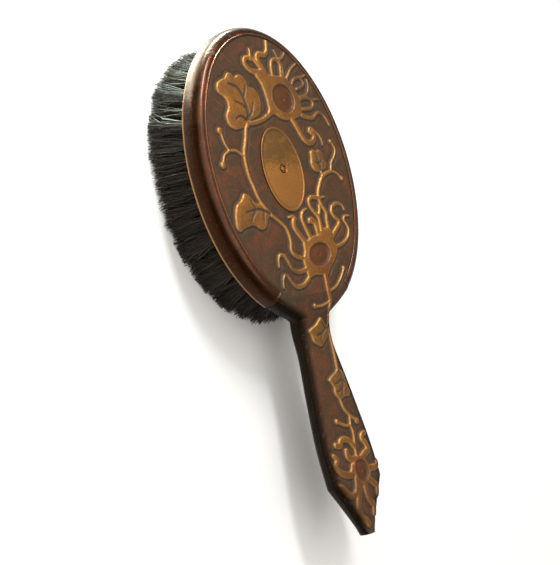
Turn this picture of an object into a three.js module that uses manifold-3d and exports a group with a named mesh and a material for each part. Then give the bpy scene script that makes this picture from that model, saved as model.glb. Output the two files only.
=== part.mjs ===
// Vanity hairbrush with a stamped metal back, lying on its bristle tips.
// Millimetres, +Z up. The handle points along -Y. Every shape is drawn around the head's centre,
// with the back's flat field at z = 0, and one group moves the whole brush into the part's frame.

import * as THREE from 'three';
import { mergeVertices } from 'three/addons/utils/BufferGeometryUtils.js';
import Module from 'manifold-3d';

const wasm = await Module();
wasm.setup();

// ---- Driving dimensions ----

const BACK_HEIGHT = 33.5;               // the back's field above the bristle tips
const HEAD_Y = 48;                      // head centre ahead of the part's origin
const GAP = 0.3;                        // clearance between neighbouring pieces

const FIELD = { a: 40.8, b: 61.2 };     // half-axes of the decorated oval field
const SHEET = 0.8;                      // stamped sheet thickness
const RIM_WIDTH = 5.8;                  // the rim band stands this far outside the field
const RIM_DEPTH = 10.3;                 // from the field down to the underside of the lip
const RIM_GAP_DEG = 28;                 // half of the angle left open for the neck
const RIM_STEPS = 40;
const SHOULDER = { start: 1.5, depth: 5.6 };  // rounded shoulder: offset where it starts, depth where it ends
const RIM_CUT = { reach: 14, above: 6, below: 30 };  // space cleared for the rim band round the field
const END_CLEARANCE_DEG = 0.4;          // gap between the rim's ends and the neck
const LIP_EDGE = 1.8;                   // the lip turns in to this offset from the field's edge
const LEDGE_TOP = SHEET + GAP;          // ledge inside the rim that carries the plate's edge

const TIP_Y = 163;                      // handle tip, measured from the head's centre
const HANDLE_HALF_WIDTH = [[60, 10.2], [76, 9.0], [100, 12.0], [124, 14.7], [140.5, 14.8]];
const CORNER_Y = 140.5;                 // where the handle turns in to its point
const TIP_HALF_WIDTH = 1.6;
const NECK_FILLET = 4;                  // softness of the corner between head and neck
const FACE_DROP = [[57, 0], [64, 1.6], [70, 3.6], [76, 4.6], [92, 4.0], [124, 2.7], [140.5, 1.6], [163, 2.4]];
const UNDERSIDE = [[50, 10.3], [60, 10.3], [72, 12.8], [84, 11.9], [108, 10.9], [140.5, 9.1], [163, 8.4]];
const FACE_EDGE_R = 2.0;                // rounding along the face of the handle
const UNDER_EDGE_R = 3.0;               // rounding along its underside
const SEAM_DROP = 2.6;                  // seam between plate and shell, below the face
const SHELL_WALL = 1.0;
const HANDLE_STATIONS = [
  50, 54, 56, 58, 60, 61.5, 63, 64.5, 66, 68, 71, 76, 84, 92, 100, 108, 116, 124, 132, 140.5, 152,
];
const HANDLE_FILLER_START = 67.5;
const CUT_HALF_WIDTH = 60;              // blocks that cut the handle reach this far to each side
const CUT_DEPTH = 30;                   // and this far down

const MEDALLION = { x: -1, y: -0.5, a: 12, b: 19.5, rise: 0.9 };
const RIVET = { shank: 0.9, head: 1.9, hole: 1.2, headRise: 0.55, end: 3.25 };
const WASHER = { radius: 3.0, thickness: 0.55, recess: 0.9 };

const FILLER_BOTTOM = 3.1;              // the head's filler, down from the field
const FILLER_INSET = 4.2;               // it stays inside the ledge
const LINER = { top: 3.25, thickness: 0.25, inset: 3.2 };
const WIRE = { depth: 4.25, radius: 0.4 };
const BOARD = { top: 5.0, bottom: 9.2, offset: 4.5 };
const TANG = { width: 8, thickness: 1.2 };
const TANG_DEPTH = [[30, 1.9], [57, 1.9], [66, 4.0], [74, 7.0], [84, 7.6], [108, 7.0], [146, 5.4]];
const TANG_STATIONS = [44, 52, 57, 60, 63, 66, 69, 72, 76, 80, 86, 96, 110, 128];
const TANG_SLOT_WIDTH = 8.8;

const ROWS = 11;
const ROW_PITCH = 6.6;                  // at the board
const ROOTS = { a: 37.5, b: 54.5 };     // half-axes of the bristle field at the board
const TIPS = { a: 46.5, b: 64.5, y: 2 }; // half-axes at the tips, and their lean towards the head's end
const ROW_ROOT_HALF = 2.6;              // half of a row's thickness at the board
const ROW_TIP_HALF = 3.6;
const TUFT_PITCH = 6.6;
const TUFT = { radius: 1.35, hole: 1.8 };

const PINS = 8;
const PIN = { offset: 2.9, shank: 0.45, head: 1.1, headHeight: 0.4, depth: 7.2, hole: 0.85 };
const PIN_FIRST_DEG = -50;
const PIN_STEP_DEG = 40;

// ---- Finishes ----

function finish(color, roughness, metalness) {
  return new THREE.MeshStandardMaterial({ color, roughness, metalness });
}

const PATINA_COPPER = finish(0x6a4a30, 0.5, 0.85);
const POLISHED_COPPER = finish(0x5c2f1c, 0.3, 0.9);
const DARK_COPPER = finish(0x2c2018, 0.4, 0.85);
const BRIGHT_BRONZE = finish(0xa87a3c, 0.4, 0.9);
const STEEL = finish(0x8d9094, 0.35, 1.0);
const BRASS = finish(0xb0904a, 0.4, 1.0);
const WOOD = finish(0x4a3020, 0.7, 0.0);
const FILLER = finish(0x6f5d4a, 0.9, 0.0);
const LINER_BOARD = finish(0x8a7a62, 0.9, 0.0);
const BRISTLE = finish(0x1d1a17, 0.7, 0.0);

// ---- Curves ----

// Smooth curve through [position, value] pairs, level beyond both ends.
function through(table, at) {
  const last = table.length - 1;
  if (at <= table[0][0]) return table[0][1];
  if (at >= table[last][0]) return table[last][1];
  const i = table.findIndex(([position]) => position > at) - 1;
  const slope = (j) => {
    const [before, after] = [table[Math.max(j - 1, 0)], table[Math.min(j + 1, last)]];
    return (after[1] - before[1]) / (after[0] - before[0]);
  };
  const span = table[i + 1][0] - table[i][0];
  const u = (at - table[i][0]) / span;
  return THREE.MathUtils.lerp(table[i][1], table[i + 1][1], u * u * (3 - 2 * u))
    + span * (slope(i) * u * (1 - u) * (1 - u) - slope(i + 1) * u * u * (1 - u));
}

// Point on the field's oval, moved out along its normal by offset.
function ovalPoint(angle, offset) {
  const [across, along] = [Math.cos(angle), Math.sin(angle)];
  const normal = new THREE.Vector2(across / FIELD.a, along / FIELD.b).normalize();
  return new THREE.Vector2(FIELD.a * across, FIELD.b * along).addScaledVector(normal, offset);
}

// Outer half-width of the brush at a distance below the head's centre: the oval, then the handle.
function halfWidth(down) {
  const ratio = Math.min(down / (FIELD.b + RIM_WIDTH), 1);
  const oval = (FIELD.a + RIM_WIDTH) * Math.sqrt(1 - ratio * ratio);
  const taper = Math.max(down - CORNER_Y, 0) / (TIP_Y - CORNER_Y);
  const grip = through(HANDLE_HALF_WIDTH, down);
  const handle = THREE.MathUtils.lerp(grip, TIP_HALF_WIDTH, taper);
  return (oval + handle + Math.hypot(oval - handle, NECK_FILLET)) / 2;
}

// ---- Solids ----

// Flat coordinates of a ring of points in its own plane.
function flatten(ring) {
  const normal = new THREE.Vector3();
  ring.forEach((point, i) => normal.add(point.clone().cross(ring[(i + 1) % ring.length])));
  normal.normalize();
  const across = Math.abs(normal.z) > 0.9 ? new THREE.Vector3(1, 0, 0) : new THREE.Vector3(0, 0, 1);
  const v = across.addScaledVector(normal, -across.dot(normal)).normalize();
  const u = v.clone().cross(normal);
  return ring.map((point) => new THREE.Vector2(point.dot(u), point.dot(v)));
}

function signedVolume(position, index) {
  const corner = (k) => new THREE.Vector3().fromArray(position, 3 * index[k]);
  let volume = 0;
  for (let k = 0; k < index.length; k += 3) {
    volume += corner(k).dot(corner(k + 1).cross(corner(k + 2)));
  }
  return volume;
}

// Closed solid through rings of equal point counts, capped at both ends.
function loft(rings) {
  const count = rings[0].length;
  const position = rings.flat().flatMap((point) => point.toArray());
  const index = [];
  for (let i = 0; i + 1 < rings.length; i += 1) {
    for (let j = 0; j < count; j += 1) {
      const [a, b] = [i * count + j, i * count + ((j + 1) % count)];
      index.push(a, b, b + count, a, b + count, a + count);
    }
  }
  const cap = (ring, first) => THREE.ShapeUtils.triangulateShape(flatten(ring), [])
    .map((face) => face.map((k) => first + k));
  cap(rings[0], 0).forEach(([a, b, c]) => index.push(a, c, b));
  cap(rings[rings.length - 1], (rings.length - 1) * count).forEach((face) => index.push(...face));
  if (signedVolume(position, index) < 0) index.reverse();
  const geometry = new THREE.BufferGeometry();
  geometry.setAttribute('position', new THREE.Float32BufferAttribute(position, 3));
  geometry.setIndex(index);
  return geometry;
}

// three.js geometry to a manifold-3d solid.
function solid(geometry) {
  const bare = geometry.clone();
  bare.deleteAttribute('normal');
  bare.deleteAttribute('uv');
  const merged = mergeVertices(bare, 1e-4);
  return new wasm.Manifold(new wasm.Mesh({
    numProp: 3,
    vertProperties: new Float32Array(merged.attributes.position.array),
    triVerts: new Uint32Array(merged.index.array),
  }));
}

function cut(body, ...tools) {
  return tools.reduce((left, tool) => left.subtract(tool), body);
}

// manifold-3d solid back to a flat-shaded geometry.
function faceted(body) {
  const { vertProperties, triVerts } = body.getMesh();
  const geometry = new THREE.BufferGeometry();
  geometry.setAttribute('position', new THREE.Float32BufferAttribute(vertProperties, 3));
  geometry.setIndex(new THREE.Uint32BufferAttribute(triVerts, 1));
  const flat = geometry.toNonIndexed();
  flat.computeVertexNormals();
  return flat;
}

// Slab with the field's oval outline, between two depths below the field.
function ovalSlab(offset, top, bottom) {
  const outline = [];
  for (let i = 0; i < 2 * RIM_STEPS; i += 2) {
    outline.push(ovalPoint((i * Math.PI) / RIM_STEPS, offset));
  }
  const extent = { depth: bottom - top, bevelEnabled: false };
  const geometry = new THREE.ExtrudeGeometry(new THREE.Shape(outline), extent);
  return solid(geometry.translate(0, 0, -bottom));
}

// Upright round bar between two depths, centred on x, y.
function bar(x, y, radius, top, bottom, sides) {
  const geometry = new THREE.CylinderGeometry(radius, radius, bottom - top, sides);
  return solid(geometry.rotateX(Math.PI / 2).translate(x, y, -(top + bottom) / 2));
}

function box(width, from, to, top, bottom) {
  const geometry = new THREE.BoxGeometry(width, to - from, bottom - top);
  return solid(geometry.translate(0, -(from + to) / 2, -(top + bottom) / 2));
}

function turned(profile, sides) {
  const outline = profile.map(([radius, z]) => new THREE.Vector2(radius, z));
  return new THREE.LatheGeometry(outline, sides).rotateX(Math.PI / 2);
}

// ---- Rim band: a horseshoe swept round the field, open at the neck ----

// Quarter of an oval from the crown of the shoulder down to the wall, as [offset, depth] points.
function shoulder(inset, steps) {
  const across = RIM_WIDTH - SHOULDER.start - inset;
  const down = SHOULDER.depth - inset;
  return Array.from({ length: steps + 1 }, (_, i) => {
    const angle = ((i / steps) * Math.PI) / 2;
    return [SHOULDER.start + across * Math.sin(angle), SHOULDER.depth - down * Math.cos(angle)];
  });
}

function sweepRim(profile, extraDeg) {
  const start = THREE.MathUtils.degToRad(-90 + RIM_GAP_DEG - extraDeg);
  const end = THREE.MathUtils.degToRad(270 - RIM_GAP_DEG + extraDeg);
  const rings = [];
  for (let i = 0; i <= RIM_STEPS; i += 1) {
    const angle = THREE.MathUtils.lerp(start, end, i / RIM_STEPS);
    rings.push(profile.map(([offset, depth]) => {
      const point = ovalPoint(angle, offset);
      return new THREE.Vector3(point.x, point.y, -depth);
    }));
  }
  return loft(rings);
}

function pinPlaces() {
  return Array.from({ length: PINS }, (_, i) => {
    const angle = THREE.MathUtils.degToRad(PIN_FIRST_DEG + i * PIN_STEP_DEG);
    return ovalPoint(angle, PIN.offset);
  });
}

const pinHoles = pinPlaces().map(({ x, y }) => bar(x, y, PIN.hole, PIN.depth - GAP, RIM_DEPTH + 1, 6));

function rimBand() {
  const bead = [[0, LEDGE_TOP], [0, 0], [0.35, -0.4], [0.95, -0.4], [1.25, 0]];
  const wall = [[RIM_WIDTH, 8.8], [5.5, 9.9], [4.8, RIM_DEPTH]];
  const lip = [[LIP_EDGE, RIM_DEPTH], [LIP_EDGE, RIM_DEPTH - SHEET], [RIM_WIDTH - 0.9, RIM_DEPTH - SHEET]];
  const ledge = [[-2.2, LEDGE_TOP + SHEET], [-2.2, LEDGE_TOP]];
  const inside = shoulder(0.9, 3).reverse();
  inside[inside.length - 1] = [SHOULDER.start, LEDGE_TOP + SHEET];
  const profile = [...bead, ...shoulder(0, 5), ...wall, ...lip, ...inside, ...ledge];
  return cut(solid(sweepRim(profile, 0)), ...pinHoles);
}

// Everything outside the field's edge over the rim's own angles.
function rimSpace() {
  const { reach, above, below } = RIM_CUT;
  return solid(sweepRim([[-GAP, -above], [reach, -above], [reach, below], [-GAP, below]], END_CLEARANCE_DEG));
}

// ---- Handle: one rounded outline, split at a seam into the plate's face and the shell ----

// Cross-section at a distance below the head's centre, drawn in by inset all round.
function handleRing(down, inset) {
  const step = 0.2;
  const slope = (halfWidth(down + step) - halfWidth(down - step)) / (2 * step);
  const half = Math.max(halfWidth(down) - inset * Math.hypot(1, slope), 0.5);
  const top = -through(FACE_DROP, down) - inset;
  const bottom = -through(UNDERSIDE, down) + inset;
  const corner = (radius) => Math.max(Math.min(radius - inset, 0.7 * half), 0.15);
  const ring = [];
  const arc = (x, z, radius, from) => {
    for (let i = 0; i <= 3; i += 1) {
      const angle = from + (i * Math.PI) / 6;
      ring.push(new THREE.Vector3(x + radius * Math.cos(angle), -down, z + radius * Math.sin(angle)));
    }
  };
  const [upper, lower] = [corner(FACE_EDGE_R), corner(UNDER_EDGE_R)];
  arc(half - upper, top - upper, upper, 0);
  arc(-half + upper, top - upper, upper, Math.PI / 2);
  arc(-half + lower, bottom + lower, lower, Math.PI);
  arc(half - lower, bottom + lower, lower, (3 * Math.PI) / 2);
  return ring;
}

function handleCore(inset, from) {
  const end = TIP_Y - inset;
  const stations = [from, ...HANDLE_STATIONS.filter((down) => down > from && down < end), end];
  return solid(loft(stations.map((down) => handleRing(down, inset))));
}

// Space below a surface that follows the handle's face at the given drop.
function belowFace(drop) {
  const stations = [HANDLE_STATIONS[0] - 10, ...HANDLE_STATIONS, TIP_Y + 5];
  return solid(loft(stations.map((down) => {
    const top = -through(FACE_DROP, down) - drop;
    const corners = [[1, top], [-1, top], [-1, -CUT_DEPTH], [1, -CUT_DEPTH]];
    return corners.map(([side, z]) => new THREE.Vector3(side * CUT_HALF_WIDTH, -down, z));
  })));
}

const HEAD_CAVITY = ovalSlab(BOARD.offset + GAP, SHEET, BOARD.bottom + GAP);
const BRISTLE_WINDOW = ovalSlab(LIP_EDGE, BOARD.bottom, RIM_DEPTH + 5);
const RIM_SPACE = rimSpace();

function backPlate() {
  const field = ovalSlab(-GAP, 0, SHEET);
  const envelope = handleCore(0, HANDLE_STATIONS[0]);
  const inside = handleCore(SHEET, HANDLE_STATIONS[0] - 1);
  const endWall = handleCore(0, TIP_Y - SHEET - 0.2);
  const face = cut(envelope, inside).add(endWall).subtract(belowFace(SEAM_DROP));
  const neck = cut(face, RIM_SPACE);
  const hole = bar(MEDALLION.x, MEDALLION.y, RIVET.hole, -1, SHEET + 1, 12);
  return cut(field.add(neck), hole);
}

function handleShell() {
  const envelope = handleCore(0, HANDLE_STATIONS[0]);
  const lower = envelope.intersect(belowFace(SEAM_DROP + GAP));
  const inside = handleCore(SHELL_WALL, HANDLE_STATIONS[0] - 1);
  const hollow = inside.add(inside.translate([0, 0, 3]));
  return cut(lower, hollow, HEAD_CAVITY, BRISTLE_WINDOW, RIM_SPACE);
}

// Flat steel strip that stiffens the neck, from inside the head to inside the handle.
function tangStrip(extra) {
  const [first, last] = [TANG_DEPTH[0][0] - extra, TANG_DEPTH[TANG_DEPTH.length - 1][0] + extra];
  const half = TANG.width / 2 + extra;
  const rise = TANG.thickness / 2 + extra;
  return loft([first, ...TANG_STATIONS, last].map((down) => {
    const middle = -through(TANG_DEPTH, down);
    return [[half, middle + rise], [-half, middle + rise], [-half, middle - rise], [half, middle - rise]]
      .map(([x, z]) => new THREE.Vector3(x, -down, z));
  }));
}

function handleFiller() {
  const core = handleCore(SHELL_WALL + GAP, HANDLE_FILLER_START);
  return cut(core, solid(tangStrip(GAP)));
}

// ---- Head's inner pieces ----

const rivetShank = (top, bottom) => bar(MEDALLION.x, MEDALLION.y, RIVET.hole, top, bottom, 12);

function headFiller() {
  const seatTop = FILLER_BOTTOM - WASHER.recess;
  const washerSeat = bar(MEDALLION.x, MEDALLION.y, WASHER.radius + GAP, seatTop, FILLER_BOTTOM + 1, 16);
  const slot = box(TANG_SLOT_WIDTH, TANG_DEPTH[0][0] - GAP, FIELD.b, 0, FILLER_BOTTOM + 1);
  const slab = ovalSlab(-FILLER_INSET, SHEET + GAP, FILLER_BOTTOM);
  return cut(slab, rivetShank(0, FILLER_BOTTOM + 1), washerSeat, slot);
}

function boardLiner() {
  return ovalSlab(-LINER.inset, LINER.top, LINER.top + LINER.thickness);
}

function medallion() {
  const dome = turned([[0, 0], [1, 0], [1, 0.55], [0.965, 0.8], [0.93, 0.62], [0.6, 0.86], [0, 1]], 40);
  dome.scale(MEDALLION.a, MEDALLION.b, MEDALLION.rise).translate(MEDALLION.x, MEDALLION.y, 0.1);
  return cut(solid(dome), rivetShank(-3, 1));
}

function medallionRivet() {
  const seat = MEDALLION.rise + 0.2;
  const top = seat + RIVET.headRise;
  const profile = [
    [0, -RIVET.end], [RIVET.shank, -RIVET.end], [RIVET.shank, seat], [RIVET.head, seat],
    [RIVET.head, seat + 0.25], [1.45, top], [1.0, top - 0.2], [0, top - 0.15],
  ];
  return turned(profile, 16).translate(MEDALLION.x, MEDALLION.y, 0);
}

function rivetWasher() {
  const low = -FILLER_BOTTOM + 0.05;
  const high = low + WASHER.thickness;
  const [inner, outer] = [RIVET.hole, WASHER.radius];
  const profile = [[inner, low], [outer, low], [outer, high], [inner, high], [inner, low]];
  return turned(profile, 16).translate(MEDALLION.x, MEDALLION.y, 0);
}

// ---- Brush board, tufts and lacing wire ----

function rowRoot(row) {
  const x = (row - (ROWS - 1) / 2) * ROW_PITCH;
  const half = ROOTS.b * Math.sqrt(1 - (x / ROOTS.a) ** 2);
  return { x, half };
}

function tuftPlaces(row) {
  const { x, half } = rowRoot(row);
  const spaces = Math.floor((2 * (half - 2)) / TUFT_PITCH);
  return Array.from({ length: spaces + 1 }, (_, i) => [x, (i - spaces / 2) * TUFT_PITCH]);
}

function eachRow(make) {
  return Array.from({ length: ROWS }, (_, row) => make(row));
}

function brushBoard() {
  const slab = ovalSlab(BOARD.offset, BOARD.top, BOARD.bottom);
  const holes = eachRow(tuftPlaces).flat()
    .map(([x, y]) => bar(x, y, TUFT.hole, BOARD.top - 1, BOARD.bottom + 1, 6));
  return cut(slab, ...holes, ...pinHoles);
}

// One row of bristles: tufts standing in the board's holes, spreading into a slab at the tips.
function bristleRow(row) {
  const { x, half } = rowRoot(row);
  const root = -(BOARD.bottom + GAP);
  const ring = (z) => {
    const u = (root - z) / (root + BACK_HEIGHT);
    const centre = x * THREE.MathUtils.lerp(1, TIPS.a / ROOTS.a, u);
    const length = half * THREE.MathUtils.lerp(1, TIPS.b / ROOTS.b, u);
    const lean = TIPS.y * u;
    const thick = THREE.MathUtils.lerp(ROW_ROOT_HALF, ROW_TIP_HALF, u);
    const corners = [[1, 0], [0.5, 1], [-0.5, 1], [-1, 0]];
    const side = corners.map(([across, along]) => [across * thick, length - (1 - along) * thick]);
    const outline = [...side, ...side.map(([across, along]) => [-across, -along])];
    return outline.map(([across, along]) => new THREE.Vector3(centre + across, along + lean, z));
  };
  const slab = solid(loft([ring(root), ring(-BACK_HEIGHT)]));
  const fold = WIRE.depth + WIRE.radius + GAP;
  return tuftPlaces(row).reduce(
    (body, [tuftX, tuftY]) => body.add(bar(tuftX, tuftY, TUFT.radius, fold, BOARD.bottom + 1, 6)),
    slab,
  );
}

// The drawing wire lies on the board's back over every hole, row after row in one length.
function lacingWire() {
  const path = [];
  eachRow(tuftPlaces).forEach((places, row) => {
    const way = row % 2 ? -1 : 1;
    const reach = places[places.length - 1][1] + 1.5;
    path.push([places[0][0], -way * reach], [places[0][0], way * reach]);
  });
  for (let k = path.length - 2; k > 0; k -= 2) {
    const [from, to] = [path[k - 1], path[k]];
    const out = Math.sign(from[1]) * (Math.max(Math.abs(from[1]), Math.abs(to[1])) + 2);
    path.splice(k, 0, [from[0] + 0.25 * ROW_PITCH, out], [to[0] - 0.25 * ROW_PITCH, out]);
  }
  const points = path.map(([x, y]) => new THREE.Vector3(x, y, -WIRE.depth));
  return loft(points.map((point, i) => {
    const [before, after] = [points[Math.max(i - 1, 0)], points[Math.min(i + 1, points.length - 1)]];
    const along = after.clone().sub(before).normalize();
    const side = new THREE.Vector3(along.y, -along.x, 0);
    return Array.from({ length: 6 }, (_, k) => {
      const angle = (k * Math.PI) / 3;
      return point.clone().addScaledVector(side, WIRE.radius * Math.cos(angle))
        .add(new THREE.Vector3(0, 0, WIRE.radius * Math.sin(angle)));
    });
  }));
}

function lipPin({ x, y }) {
  const seat = -(RIM_DEPTH + 0.05);
  const profile = [
    [0, seat - PIN.headHeight], [0.7, seat - PIN.headHeight], [PIN.head, seat - 0.15], [PIN.head, seat],
    [PIN.shank, seat], [PIN.shank, -PIN.depth - 0.5], [0, -PIN.depth],
  ];
  return turned(profile, 10).translate(x, y, 0);
}

// ---- Assembly ----

const brush = new THREE.Group();
brush.position.set(0, HEAD_Y, BACK_HEIGHT);

function place(name, geometry, material) {
  const mesh = new THREE.Mesh(geometry, material);
  mesh.name = name;
  brush.add(mesh);
}

place('back_plate', faceted(backPlate()), PATINA_COPPER);
place('rim_band', faceted(rimBand()), POLISHED_COPPER);
place('handle_shell', faceted(handleShell()), DARK_COPPER);
place('medallion', faceted(medallion()), BRIGHT_BRONZE);
place('medallion_rivet', medallionRivet(), BRASS);
place('rivet_washer', rivetWasher(), STEEL);
place('head_filler', faceted(headFiller()), FILLER);
place('handle_filler', faceted(handleFiller()), FILLER);
place('handle_tang', tangStrip(0), STEEL);
place('board_liner', faceted(boardLiner()), LINER_BOARD);
place('lacing_wire', lacingWire(), BRASS);
place('brush_board', faceted(brushBoard()), WOOD);
eachRow((row) => place(`bristle_row_${row + 1}`, faceted(bristleRow(row)), BRISTLE));
pinPlaces().forEach((spot, i) => place(`lip_pin_${i + 1}`, lipPin(spot), BRASS));

const part = new THREE.Group();
part.add(brush);

export default part;
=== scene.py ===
"""Vanity hairbrush with an embossed copper back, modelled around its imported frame.

The brush lies on its bristle tips with the back up and the handle along -Y. Lengths in the
pattern lists and helper functions are millimetres from the head's centre, with the back's flat
field at height 0; finished meshes are in metres in the frame's own place.
"""
import math
import random

import bmesh
import bpy
import numpy as np
from bpy.props import FloatProperty, FloatVectorProperty, IntProperty, PointerProperty
from mathutils import Matrix, Vector, noise


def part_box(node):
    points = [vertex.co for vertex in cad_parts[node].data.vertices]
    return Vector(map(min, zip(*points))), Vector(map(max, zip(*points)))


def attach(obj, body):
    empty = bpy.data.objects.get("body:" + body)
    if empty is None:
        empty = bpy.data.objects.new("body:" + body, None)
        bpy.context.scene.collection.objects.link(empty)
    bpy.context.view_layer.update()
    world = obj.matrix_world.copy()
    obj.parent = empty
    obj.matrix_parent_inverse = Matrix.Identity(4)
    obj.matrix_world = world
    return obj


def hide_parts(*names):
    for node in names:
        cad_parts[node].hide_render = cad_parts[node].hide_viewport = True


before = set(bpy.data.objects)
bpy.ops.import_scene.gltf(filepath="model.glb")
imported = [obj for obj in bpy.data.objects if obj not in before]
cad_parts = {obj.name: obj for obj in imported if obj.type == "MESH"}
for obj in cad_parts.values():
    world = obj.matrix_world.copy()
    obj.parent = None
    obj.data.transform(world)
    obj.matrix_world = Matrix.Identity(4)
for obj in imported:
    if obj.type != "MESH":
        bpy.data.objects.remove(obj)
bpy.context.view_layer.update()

bl_info = {
    "name": "Embossed Hairbrush",
    "version": (1, 0, 0),
    "blender": (4, 5, 0),
    "location": "View3D > Sidebar > Hairbrush",
    "description": "Models a vanity hairbrush around its packed frame",
    "category": "Add Mesh",
}

MM = 0.001
BODY = "root"

# ---- Places taken from the frame ----

RIM_LOW, RIM_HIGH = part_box("rim_band")
PLATE_LOW, PLATE_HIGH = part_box("back_plate")
BOARD_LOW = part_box("brush_board")[0]

RIM_WIDTH = 5.8
FIELD_A = (RIM_HIGH.x - RIM_LOW.x) / 2 / MM - RIM_WIDTH
FIELD_B = 61.2
BACK = PLATE_HIGH.z
CENTRE = Vector(((RIM_LOW.x + RIM_HIGH.x) / 2, RIM_HIGH.y - (FIELD_B + RIM_WIDTH) * MM, BACK))
TIP_Y = (CENTRE.y - PLATE_LOW.y) / MM
RIM_DEPTH = (BACK - RIM_LOW.z) / MM

# ---- The brush's own measures, repeated from its design ----

SHEET = 0.8
RIM_GAP = math.radians(28)
LIP_EDGE = 1.8
HANDLE_HALF_WIDTH = [(60, 10.2), (76, 9.0), (100, 12.0), (124, 14.7), (140.5, 14.8)]
CORNER_Y = 140.5
TIP_HALF_WIDTH = 1.6
NECK_FILLET = 4.0
FACE_DROP = [(57, 0), (64, 1.6), (70, 3.6), (76, 4.6), (92, 4.0), (124, 2.7), (140.5, 1.6), (163, 2.4)]
UNDERSIDE = [(50, 10.3), (60, 10.3), (72, 12.8), (84, 11.9), (108, 10.9), (140.5, 9.1), (163, 8.4)]
FACE_EDGE = 2.4         # depth of the rounding along the handle's face
FACE_SOFTNESS = 4.6     # and its width
SHOULDER_START = 1.5
SHOULDER_DEPTH = 5.6
UNDER_EDGE = 3.0
SEAM_DROP = 2.6
MEDALLION = {"x": -1.0, "y": -0.5, "a": 12.0, "b": 19.5}

ROWS = 11
ROW_PITCH = 6.6
ROOT_A, ROOT_B = 37.5, 54.5
TIP_A, TIP_B = 47.3, 65.5
TIP_LEAN = 2.0          # the tips stand this far towards the head's end
TUFT_PITCH = 6.6
ROOT_DEPTH = (BACK - BOARD_LOW.z) / MM
TIP_DEPTH = BACK / MM

# ---- The embossed pattern: centre lines, outlines and rounds, in millimetres ----

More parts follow.
